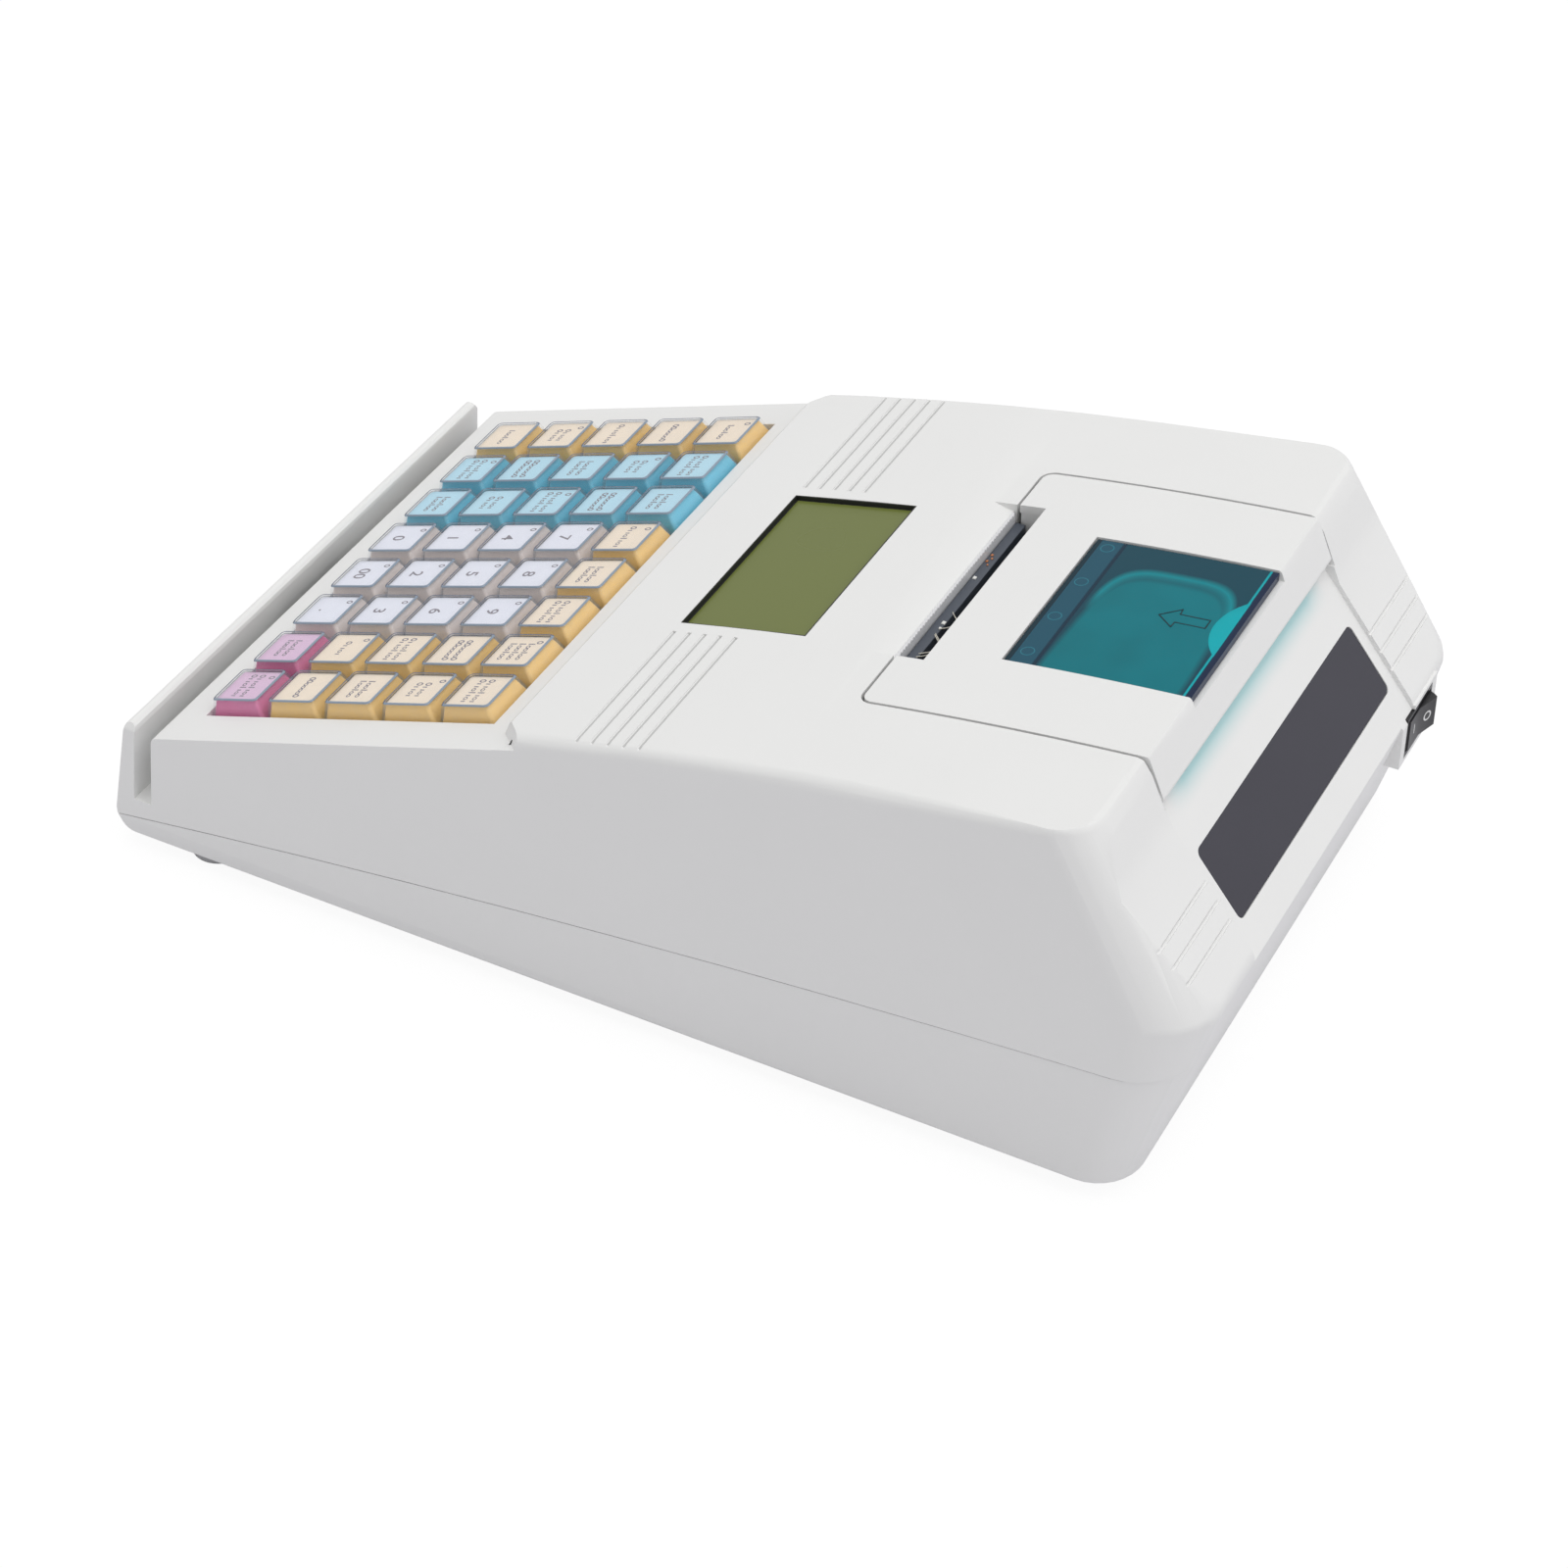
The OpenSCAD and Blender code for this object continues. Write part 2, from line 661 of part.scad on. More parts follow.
module case_screws() {
    place() color([0.72, 0.73, 0.75]) for (p = POSTS) both_sides() translate([p[0], p[1], head_seat_z(p)]) {
        translate([0, 0, -head_t]) cylinder(h = head_t, r = head_r, $fn = 32);
        translate([0, 0, -EPS]) cylinder(h = seam_z(p[1]) + 8 - head_seat_z(p), r = screw_r, $fn = 24);
    }
}

module rubber_feet() {
    place() color([0.12, 0.12, 0.13])
        for (y = [foot_front, case_l - foot_rear]) both_sides() translate([foot_x, y, -foot_h]) {
            cylinder(h = foot_h, r = foot_r, $fn = 48);
        }
}

// Main circuit board on four posts
board_w = 130;
board_l = 84;
board_y = 34;
board_z = 9;
board_t = 1.6;
board_post_r = 3;
chip_t = 2;

module board_posts(z) {
    inset = 2 * board_post_r;
    for (y = [board_y + inset, board_y + board_l - inset])
        both_sides() translate([board_w / 2 - inset, y, z]) cylinder(h = board_z - z, r = board_post_r, $fn = 24);
}

module main_board() {
    place() color([0.1, 0.4, 0.22]) {
        translate([0, board_y, board_z]) box_front([board_w, board_l, board_t]);
        // processor, memory and connector: x and y as shares of the board, sizes likewise
        for (c = [[-0.16, 0.36, 0.18, 0.28, 1], [0.15, 0.3, 0.09, 0.36, 1.2], [-0.42, 0.72, 0.14, 0.16, 3]])
            translate([c[0] * board_w, board_y + c[1] * board_l, board_z + board_t - EPS])
                cube([c[2] * board_w, c[3] * board_l, c[4] * chip_t]);
    }
}

// ---- Keyboard ----

module cut_square(side, c) {
    a = side / 2;
    polygon([[-a + c, -a], [a - c, -a], [a, -a + c], [a, a - c], [a - c, a], [-a + c, a], [-a, a - c], [-a, -a + c]]);
}

// Place of a key: row 1 is nearest the operator, column 1 at the operator's left
module at_key(r, c) {
    on_deck() translate([(c - (key_cols + 1) / 2) * key_pitch, field_mid + (r - (key_rows + 1) / 2) * key_pitch, 0])
        children();
}

module key(r, c) {
    body_top = -1;
    place() color([0.75, 0.78, 0.84]) at_key(r, c) {
        translate([0, 0, body_top]) linear_extrude(key_proud - body_top, scale = key_top / key_base)
            cut_square(key_base, key_corner);
        translate([0, 0, -key_skirt]) linear_extrude(key_skirt + body_top + EPS) cut_square(key_base, key_corner);
        translate([-post_w / 2, -post_w / 2, -plate_drop - plate_t + 0.5])
            cube([post_w, post_w, plate_drop + plate_t - key_skirt]);
    }
}

module key_plate() {
    place() color([0.2, 0.21, 0.23]) on_deck() difference() {
        translate([0, field_mid, -plate_drop - plate_t])
            box_mid([field_w + 2 * collar_t, field_l + 2 * collar_t, plate_t]);
        for (r = [1 : key_rows]) for (c = [1 : key_cols])
            translate([(c - (key_cols + 1) / 2) * key_pitch, field_mid + (r - (key_rows + 1) / 2) * key_pitch,
                       -plate_drop - plate_t - 1]) box_mid([post_w + 2 * FIT, post_w + 2 * FIT, plate_t + 2]);
    }
}

module card_reader() {
    place() color([0.15, 0.15, 0.16]) translate([0, deck_foot_y, slot_floor_z]) rotate([-front_lean, 0, 0]) {
        translate([0, 0, reader_z]) box_front([reader_w, wall + 1, reader_h]);
        translate([0, wall + 0.9, reader_z - reader_rim])
            box_front([reader_w + 3 * reader_rim, reader_d, reader_h + 2 * reader_rim]);
    }
}

// ---- Displays ----

module lcd_window() {
    place() color([0.45, 0.5, 0.3]) on_top(lcd_y)
        translate([0, 0, -lcd_depth - glass_t]) box_mid([glass_w, glass_l, glass_t]);
}

module lcd_module() {
    place() color([0.12, 0.3, 0.18]) on_top(lcd_y) {
        translate([0, 0, -lcd_depth - glass_t - 4]) box_mid([glass_w, glass_l, 4]);
        translate([0, 0, -lcd_depth - glass_t - 5.6]) box_mid([glass_w + 12, glass_l + 10, 1.6 + EPS]);
    }
}

module customer_window() {
    place() color([0.25, 0.25, 0.28]) on_slope()
        translate([0, pane_mid, -recess_depth - wall]) linear_extrude(pane_t) round_rect(pane_w, pane_len, pane_r);
}

module customer_display() {
    place() color([0.12, 0.3, 0.18]) on_slope()
        translate([0, pane_mid, -recess_depth - wall - 5]) box_mid([pane_w + 3, pane_len + 4, 5]);
}

// ---- Printer ----

module lid_side(d0, d1, y0) {
    steps = 14;
    y1 = crease_y - 0.4;
    inner_crease = crease_y - d1 / sin(steep_angle) + d1 / tan(steep_angle) * 0.35;
    polygon(concat(
        [for (i = [0 : steps]) let (y = y0 + (y1 - y0) * i / steps) [y, top_z(y, d0)]],
        [[crease_y + 0.25, top_z(crease_y, d0) - 0.6],
         [hinge_y + bead_r * sin(steep_angle), hinge_z + bead_r * cos(steep_angle)],
         [hinge_y - (d1 - bead_r) * sin(steep_angle), hinge_z - (d1 - bead_r) * cos(steep_angle)]],
        [for (i = [steps : -1 : 0]) let (y = y0 + (inner_crease - y0) * i / steps) [y, top_z(y, d1)]]));
}

module lid_plan() {
    half = lid_w / 2;
    r = lid_corner_r;
    difference() {
        union() {
            translate([-half, lid_y + r]) square([2 * half, case_l - lid_y]);
            translate([-half + r, lid_y]) square([2 * (half - r), case_l - lid_y]);
            for (s = [-1, 1]) translate([s * (half - r), lid_y + r]) circle(r, $fn = 48);
        }
        translate([-exit_w / 2 - exit_shift, lid_y - 1]) square([exit_w, exit_end_y - lid_y + 1]);
    }
}

// Side view of the window opening: everything above the underside of the window
module window_cut() {
    steps = 8;
    depth = window_drop + window_t + FIT;
    end_y = crease_y + 5;
    polygon(concat(
        [for (i = [0 : steps]) let (y = window_y + (crease_y - window_y) * i / steps) [y, top_z(y, depth)]],
        [[end_y, top_z(crease_y, depth)], [end_y, top_z(crease_y) + 10], [window_y, top_z(crease_y) + 10]]));
}

module printer_lid() {
    place() color([0.91, 0.91, 0.9]) difference() {
        union() {
            intersection() {
                across(lid_w) lid_side(0, lid_t, lid_y);
                translate([0, 0, lid_bottom_z - 20]) linear_extrude(60) lid_plan();
            }
            translate([-lid_w / 2, hinge_y, hinge_z]) rotate([0, 90, 0]) cylinder(h = lid_w, r = bead_r, $fn = 32);
            both_sides() translate([lid_w / 2 - 3, hinge_y, hinge_z]) rotate([0, 90, 0])
                cylinder(h = 3 + lid_gap + 1.2, r = hinge_r, $fn = 48);
            notch_walls();
            // finger tab under the rear edge of the window
            intersection() {
                on_top(crease_y - 3) translate([0, 3 + tab_r * 0.6, -window_drop - window_t - FIT - tab_t])
                    cylinder(h = tab_t, r = tab_r, $fn = 64);
                across(lid_w) lid_side(0, 3 * lid_t, window_y);
            }
            // ears of the paper window
            both_sides() translate([window_half + 0.05, flap_y - 3, flap_z - 2.4])
                cube([3, 6, top_z(flap_y - 3) - flap_z + 1.4]);
        }
        // window opening, through the rear edge
        across(2 * window_half) window_cut();
        both_sides() translate([window_half - 1, flap_y, flap_z]) rotate([0, 90, 0])
            cylinder(h = 3.4, r = flap_pin_r + run_gap, $fn = 48);
    }
}

// Walls that line the notch for the paper exit
module notch_walls() {
    y0 = lid_y + 0.4;
    half = exit_w / 2 + 0.1;
    z0 = top_z(exit_end_y) - lid_t - notch_skirt;
    up = notch_skirt + lid_t / 2;
    for (x = [-exit_shift - half - notch_wall, -exit_shift + half])
        translate([x, y0, z0]) cube([notch_wall, exit_end_y + notch_wall - y0, up]);
    translate([-exit_shift, exit_end_y + 0.1, top_z(exit_end_y) - 2 * lid_t])
        box_front([2 * half + notch_wall, notch_wall, 1.5 * lid_t]);
}

module paper_window() {
    steps = 10;
    y0 = window_y + window_gap;
    y1 = crease_y - 0.2;
    place() color([0.05, 0.55, 0.6]) {
        across(window_w) polygon(concat(
            [for (i = [0 : steps]) let (y = y0 + (y1 - y0) * i / steps) [y, top_z(y, window_drop)]],
            [for (i = [steps : -1 : 0]) let (y = y0 + (y1 - y0) * i / steps)
                [y, top_z(y, window_drop + window_t)]]));
        both_sides() translate([window_w / 2 - 1, flap_y, flap_z]) rotate([0, 90, 0])
            cylinder(h = 1 + window_gap + 2.2, r = flap_pin_r, $fn = 48);
    }
}

// Serrated edge: a steel strip on the rear face of the tongue in front of the exit
tear_pitch = 1.4;

tear_teeth = floor((exit_w - 1) / tear_pitch);
tear_z = top_z(exit_y) - ramp_depth;

module tear_bar() {
    w = tear_teeth * tear_pitch;
    place() color([0.75, 0.76, 0.78]) translate([-exit_shift, exit_y + tear_t, 0]) rotate([90, 0, 0]) linear_extrude(tear_t)
        polygon(concat([[-w / 2, tear_z - tear_h]], [[w / 2, tear_z - tear_h]],
            [for (i = [0 : tear_teeth - 1]) each [[w / 2 - i * tear_pitch, tear_z - 0.3],
                [w / 2 - (i + 0.5) * tear_pitch, tear_z + 0.5]]], [[-w / 2, tear_z - 0.3]]));
}

frame_front_y = lid_y + 0.4;
frame_rear_y = bucket_y + bucket_r + 2;
beam_z = platen_z - 14;
head_y = exit_y + tear_t + FIT;
head_w = window_w + 14;
head_top_z = lid_bottom_z - 2;
heater_t = 2.7;
heater_foot = 6;

module frame_posts(z) {
    for (y = [frame_front_y + 10, frame_rear_y - 8]) both_sides() translate([frame_half - 7, y, z])
        cylinder(h = frame_z - frame_t - z, r = post_low_r, $fn = 24);
}

// Chassis of the printer: two side plates, a floor and a front beam
module print_frame() {
    place() color([0.16, 0.16, 0.17]) difference() {
        union() {
            both_sides() translate([frame_half - frame_t, 0, 0]) rotate([90, 0, 90]) linear_extrude(frame_t)
                frame_side();
            translate([0, frame_front_y, frame_z - frame_t])
                box_front([2 * frame_half - 1, frame_rear_y - frame_front_y, frame_t]);
            translate([0, frame_front_y, beam_z - 5]) box_front([2 * frame_half - 1, 7, 5]);
        }
        translate([-frame_half - 1, platen_y, platen_z]) rotate([0, 90, 0])
            cylinder(h = 2 * frame_half + 2, r = platen_shaft_r + run_gap, $fn = 48);
    }
}

module frame_side() {
    difference() {
        union() {
            translate([frame_front_y, frame_z - frame_t]) square([frame_rear_y - frame_front_y, 24]);
            translate([frame_front_y, frame_z]) square([22, platen_z - frame_z]);
            translate([platen_y, platen_z]) circle(7, $fn = 48);
            translate([frame_front_y, platen_z - EPS]) square([platen_y - frame_front_y, 4]);
        }
        translate([bucket_y, bucket_z]) circle(bucket_r - 4, $fn = 64);
    }
}

module thermal_head() {
    place() color([0.3, 0.31, 0.33]) {
        translate([-exit_shift, head_y, beam_z]) box_front([head_w, heater_t, head_top_z - beam_z]);
        translate([-exit_shift, head_y, beam_z])
            box_front([head_w - 3 * heater_foot, heater_foot, heater_foot + 2]);
    }
}

module platen_roller() {
    place() color([0.14, 0.14, 0.15]) translate([0, platen_y, platen_z]) rotate([0, 90, 0]) {
        translate([0, 0, -window_w / 2 - 1]) cylinder(h = window_w + 2, r = platen_r, $fn = 48);
        translate([0, 0, -frame_half - 1.5]) cylinder(h = 2 * frame_half + 3, r = platen_shaft_r, $fn = 48);
        // drive gear outside the roller
        translate([0, 0, frame_half - frame_t - 6]) linear_extrude(4) gear_outline(18, platen_r + 1.4);
    }
}

module gear_outline(n, r) {
    step = 360 / n;
    polygon([for (i = [0 : n - 1]) for (k = [[0, 1], [0.28, 1], [0.5, 0.82], [0.78, 0.82]])
        r * k[1] * [cos((i + k[0]) * step), sin((i + k[0]) * step)]]);
}

// Cradle for the paper roll: a half tube with ends, on a foot
module paper_bucket() {
    half = bucket_w / 2;
    outer = bucket_r + bucket_t;
    place() color([0.55, 0.57, 0.6]) {
        difference() {
            translate([-half - bucket_t, bucket_y, bucket_z]) rotate([0, 90, 0])
                cylinder(h = bucket_w + 2 * bucket_t, r = outer, $fn = 96);
            translate([-half, bucket_y, bucket_z]) rotate([0, 90, 0]) cylinder(h = bucket_w, r = bucket_r, $fn = 96);
            translate([0, bucket_y - outer - 1, bucket_z + 4]) box_front([bucket_w + 10, 2 * outer + 2, outer]);
        }
        translate([0, bucket_y - 12, frame_z]) difference() {
            box_front([bucket_w, 24, bucket_z - frame_z - bucket_r]);
            translate([0, 2, -1]) box_front([bucket_w - 4, 20, bucket_foot - 1]);
        }
    }
}

// ---- Power switch ----

module at_switch() {
    translate([-switch_x, pad_y, switch_z]) children();
}

module switch_body() {
    hole_w = 2 * (rocker_r + FIT);
    hole_h = rocker_h + 2 * FIT;
    place() color([0.1, 0.1, 0.11]) at_switch() difference() {
        union() {
            translate([-body_w / 2, -body_d, -body_h / 2]) cube([body_w, body_d, body_h]);
            for (x = [-5, 0, 5]) translate([x - 0.4, -body_d - 6, -2.4]) cube([0.8, 6 + EPS, 4.8]);
        }
        translate([-hole_w / 2, -pivot_depth - rocker_r + 2, -hole_h / 2]) cube([hole_w, body_d, hole_h]);
        translate([0, -pivot_depth, -body_h / 2 + 0.4]) cylinder(h = body_h - 0.8, r = pivot_pin_r + run_gap, $fn = 48);
    }
}

// Rocker in its resting position, with the end on the operator's far side raised
module power_rocker() {
    far = 3 * rocker_r;
    place() color([0.13, 0.13, 0.14]) at_switch() translate([0, -pivot_depth, 0]) rotate([0, 0, -rocker_tilt]) {
        translate([0, 0, -rocker_h / 2]) linear_extrude(rocker_h) difference() {
            circle(rocker_r, $fn = 96);
            polygon([[-far, tip_reach], [-tip_x, tip_reach], [0, tip_reach - rocker_dip], [tip_x, tip_reach],
                     [far, tip_reach], [far, far], [-far, far]]);
            translate([-far, -far - rocker_back]) square([2 * far, far]);
        }
        translate([0, 0, -rocker_h / 2 - 1]) cylinder(h = rocker_h + 2, r = pivot_pin_r, $fn = 48);
    }
}

upper_case();
lower_case();
rubber_feet();
case_screws();
printer_lid();
paper_window();
lcd_window();
lcd_module();
customer_window();
customer_display();
tear_bar();
print_frame();
thermal_head();
platen_roller();
paper_bucket();
main_board();
key_plate();
card_reader();
switch_body();
power_rocker();
for (r = [1 : key_rows]) for (c = [1 : key_cols])
    key(r, c);
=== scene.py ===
"""Looks of the ticket register: shells, keys, displays, printer and switch, and a plain studio."""

import json
import math

import bmesh
import bpy
from bpy.props import FloatProperty, FloatVectorProperty, PointerProperty
from mathutils import Matrix, Vector


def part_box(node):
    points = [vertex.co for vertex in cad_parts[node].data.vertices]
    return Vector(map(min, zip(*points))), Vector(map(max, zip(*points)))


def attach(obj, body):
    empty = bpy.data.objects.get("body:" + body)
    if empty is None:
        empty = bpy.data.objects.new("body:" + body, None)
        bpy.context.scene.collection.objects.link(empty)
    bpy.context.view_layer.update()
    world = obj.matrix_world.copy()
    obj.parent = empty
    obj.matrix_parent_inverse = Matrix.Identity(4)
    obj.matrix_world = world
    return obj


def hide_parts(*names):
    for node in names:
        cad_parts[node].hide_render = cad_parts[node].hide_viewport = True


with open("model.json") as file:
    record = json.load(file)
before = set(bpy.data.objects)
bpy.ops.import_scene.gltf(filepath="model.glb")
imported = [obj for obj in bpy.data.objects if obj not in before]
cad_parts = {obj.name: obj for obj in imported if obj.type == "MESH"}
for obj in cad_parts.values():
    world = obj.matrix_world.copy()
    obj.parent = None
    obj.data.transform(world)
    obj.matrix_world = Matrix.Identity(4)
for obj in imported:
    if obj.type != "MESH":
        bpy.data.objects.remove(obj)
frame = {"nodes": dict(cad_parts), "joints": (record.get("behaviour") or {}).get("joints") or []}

bl_info = {
    "name": "Ticket register",
    "version": (1, 0, 0),
    "blender": (4, 5, 0),
    "location": "3D View > Sidebar > Register",
    "description": "Builds the finished looks of a ticket register on its fixed frame",
    "category": "Object",
}

MM = 0.001
# Which colour each key has, front row first, by column from the operator's left
KEY_COLOURS = ["OOOOO", "BBBBB", "BBBBB", "WWWWO", "WWWWO", "WWWWO", "POOOO", "POOOO"]
KEY_FIGURES = {4: "0147", 5: ["00", "2", "5", "8"], 6: ".369"}
# Lines of legend on the keys that carry words, by column, front row first
KEY_LINES = {
    1: [1, 2, 1, 1, 1],
    2: [2, 2, 2, 2, 2],
    3: [2, 2, 2, 2, 2],
    4: [0, 0, 0, 0, 1],
    5: [0, 0, 0, 0, 2],
    6: [0, 0, 0, 0, 2],
    7: [2, 1, 2, 2, 3],
    8: [2, 1, 2, 2, 2],
}

# Places measured on the frame, in millimetres. They don't follow a change of the frame's grooves or step.
GROOVE_PITCH = 4.43
FIRST_GROOVE = 3.14
GROOVES_MIDDLE = 2 * GROOVE_PITCH
REAR_GROOVE_TOP = 76.85
REAR_GROOVE_DROP = 4.53
REAR_GROOVES_MIDDLE = 72.3
STEP_CORNER = (84.5, -33.23, 75.4)
STEP_CORNER_OUT = (0.61, -0.74, 0.29)

# Key sizes in millimetres
COVER_BASE, COVER_TOP = 17.9, 15
CORE_BASE, CORE_TOP = 16.7, 13.9
STEM, STEM_LENGTH, STEM_MIDDLE = 6, 8.4, -8.3
LEGEND_HEIGHT = 3.28
LEGEND_PITCH = 2.9

# Size of the operator display's glass in millimetres
GLASS_WIDE, GLASS_LONG, GLASS_THICK = 70, 42.5, 1.5

# Chips on the print head: x, distance behind its front and size in millimetres; the first four are copper,
# and the white one at x -10 is a painted highlight that stands for a glint
CHIPS_AND_GLINT = ((-21, 0.7, 0.8), (-19.6, 1.3, 0.6), (-18, 0.6, 0.8), (-16.6, 1.4, 0.5),
         (-10, 0.9, 1.1), (11, 2.2, 1.2), (13.4, 2.3, 0.7))
COPPER_CHIPS = 4


def tint(r, g, b):
    """Scene-linear colour for a colour given as 0-255 on screen."""
    screen = (r / 255, g / 255, b / 255)
    return tuple(c / 12.92 if c <= 0.04045 else ((c + 0.055) / 1.055) ** 2.4 for c in screen)


# ---- Settings ----

def colour_setting(name, description, default):
    return FloatVectorProperty(name=name, description=description, default=default, subtype="COLOR",
                               min=0, max=1)


def length_setting(name, description, default_mm):
    return FloatProperty(name=name, description=description, default=default_mm * MM, min=0,
                         unit="LENGTH", precision=5)


class RegisterColours(bpy.types.PropertyGroup):
    """Colours of the register's mouldings, keys and glasses."""
    shell: colour_setting("Shell", "Colour of the moulded case", tint(233, 233, 232))
    orange: colour_setting("Orange keys", "Colour of the orange key bodies", tint(255, 208, 112))
    orange_card: colour_setting("Orange cards", "Colour of the cards in orange keys", tint(250, 232, 208))
    blue: colour_setting("Blue keys", "Colour of the blue key bodies", tint(96, 200, 226))
    blue_card: colour_setting("Blue cards", "Colour of the cards in blue keys", tint(186, 226, 240))
    pink: colour_setting("Pink keys", "Colour of the pink key bodies", tint(226, 104, 160))
    pink_card: colour_setting("Pink cards", "Colour of the cards in pink keys", tint(228, 192, 218))
    white: colour_setting("White keys", "Colour of the white key bodies", tint(238, 224, 216))
    white_card: colour_setting("White cards", "Colour of the cards in white keys", tint(238, 238, 246))
    ink: colour_setting("Ink", "Colour of the legends", tint(124, 114, 120))
    lcd: colour_setting("Operator display", "Colour of the unlit operator display", tint(106, 115, 55))
    pane: colour_setting("Customer display", "Colour of the smoked pane", tint(60, 59, 68))
    teal: colour_setting("Paper window", "Tint of the clear paper window", (0.0, 0.25, 0.3))
    glow: colour_setting("Window glow", "Bright edge light in the paper window", (0.0, 0.55, 0.62))
    navy: colour_setting("Window edge", "Dark edge of the paper window", (0.012, 0.03, 0.085))


class RegisterSizes(bpy.types.PropertyGroup):
    """Sizes of the small details."""
    cover_wall: length_setting("Key cover wall", "Wall of a key's clear cover", 0.5)
    figure: length_setting("Figure height", "Height of the figures on the keys", 3.9)
    line: length_setting("Legend height", "Height of a tall stroke in a line of legend", 2.2)
    gasket: length_setting("Gasket width", "Width of the dark line round the operator display", 0.5)


class StudioSettings(bpy.types.PropertyGroup):
    """Light of the plain studio."""
    sky: FloatProperty(name="Sky", description="Strength of the even light from all round",
                       default=0.58, min=0)
    lamp: FloatProperty(name="Lamp", description="Strength of the soft lamp overhead", default=1.08, min=0)
    fill: FloatProperty(name="Fill", description="Strength of the soft lamp behind", default=0.34, min=0)
    shadow: FloatProperty(name="Shadow", description="Share of the floor's white that comes from the lamps",
                          default=0.1, min=0, max=1, subtype="FACTOR")


# ---- Shader nodes ----

class Wire:
    """A socket of a shader node. Arithmetic on it adds Math nodes."""

    def __init__(self, finish, socket):
        self.finish = finish
        self.socket = socket

    def maths(self, operation, *values):
        return self.finish.node("Math", {"operation": operation}, dict(enumerate(values)))

    def __add__(self, other):
        return self.maths("ADD", self, other)

    def __sub__(self, other):
        return self.maths("SUBTRACT", self, other)

    def __rsub__(self, other):
        return self.maths("SUBTRACT", other, self)

    def __mul__(self, other):
        return self.maths("MULTIPLY", self, other)

    def __gt__(self, other):
        return self.maths("GREATER_THAN", self, other)

    def __lt__(self, other):
        return self.maths("LESS_THAN", self, other)

    def __abs__(self):
        return self.maths("ABSOLUTE", self)

    __radd__ = __add__
    __rmul__ = __mul__


class Finish:
    """A material in the making."""

    def __init__(self, name, **constants):
        self.material = bpy.data.materials.new(name)
        self.material.use_nodes = True
        self.tree = self.material.node_tree
        self.shader = self.tree.nodes["Principled BSDF"]
        self.set(**constants)

    def node(self, kind, settings=None, values=None, out=0):
        made = self.tree.nodes.new("ShaderNode" + kind)
        for key, value in (settings or {}).items():
            setattr(made, key, value)
        for key, value in (values or {}).items():
            self.plug(made.inputs[key], value)
        return Wire(self, made.outputs[out])

    def plug(self, socket, value):
        if isinstance(value, Wire):
            self.tree.links.new(value.socket, socket)
        elif socket.type == "RGBA":
            socket.default_value = (*value[:3], 1)
        else:
            socket.default_value = value

    def set(self, **values):
        for key, value in values.items():
            self.plug(self.shader.inputs[key.replace("_", " ")], value)
        return self

    def place(self):
        """Position on the object, in millimetres."""
        where = self.node("TexCoord", out="Object")
        return self.node("VectorMath", {"operation": "SCALE"}, {0: where, "Scale": 1 / MM})

    def noise(self, size, detail=2.0, where=None):
        """Noise whose grains are about size millimetres across."""
        values = {"Vector": where or self.place(), "Scale": 1 / size, "Detail": detail}
        return self.node("TexNoise", {}, values)

    def fract(self, value):
        """What is left of a value after its whole part."""
        return self.node("Math", {"operation": "FRACT"}, {0: value})

    def along(self, where):
        """The x, y and z of a position."""
        return [self.node("SeparateXYZ", {}, {0: where}, out=i) for i in range(3)]

    def share(self, value):
        """A value held between 0 and 1."""
        return self.node("Clamp", {}, {0: value})

    def blend(self, low, high, share):
        return self.node("MixRGB", {}, {"Fac": share, "Color1": low, "Color2": high})

    def relief(self, height, depth, edge=0.0):
        """Bump of the given depth in millimetres, over edges rounded by edge metres."""
        values = {"Height": height, "Distance": depth * MM}
        if edge:
            values["Normal"] = self.node("Bevel", {"samples": 6}, {"Radius": edge})
        self.set(Normal=self.node("Bump", {}, values))
        return self


def shade(colour, factor):
    return tuple(min(1, c * factor) for c in colour)


def moulded(name, colour, rough=0.45, grain=0.35, depth=0.012, spread=0.03, edge=0.0004, over=None):
    """Moulded plastic, a little uneven in colour and gloss, with a fine spark grain.

    Over is a function that adds a mark to its colour.
    """
    m = Finish(name, Specular_IOR_Level=0.4)
    where = m.place()
    fine = m.noise(grain, 3, where)
    broad = m.noise(28, 2, where)
    base = m.blend(shade(colour, 1 - spread), shade(colour, 1 + spread), broad)
    if over:
        base = over(m, where, base)
    m.set(Base_Color=base, Roughness=rough - 0.06 + fine * 0.08 + broad * 0.06)
    return m.relief(fine, depth, edge).material


def brushed(name, colour, rough=0.3, along=(1, 0, 0)):
    """Metal with fine lines along one axis."""
    m = Finish(name, Metallic=1.0)
    stretch = m.node("Mapping", {}, {"Vector": m.place(), "Scale": tuple(0.05 if a else 1 for a in along)})
    lines = m.noise(0.15, 3, stretch)
    m.set(Base_Color=m.blend(shade(colour, 0.82), shade(colour, 1.08), lines),
          Roughness=rough - 0.08 + lines * 0.16)
    return m.relief(lines, 0.004, 0.0001).material


# ---- Modelling ----

def deselect():
    if bpy.context.object and bpy.context.object.mode != "OBJECT":
        bpy.ops.object.mode_set(mode="OBJECT")
    bpy.ops.object.select_all(action="DESELECT")


def pick(obj):
    deselect()
    obj.select_set(True)
    bpy.context.view_layer.objects.active = obj
    return obj


def edit(obj):
    pick(obj)
    bpy.ops.object.mode_set(mode="EDIT")


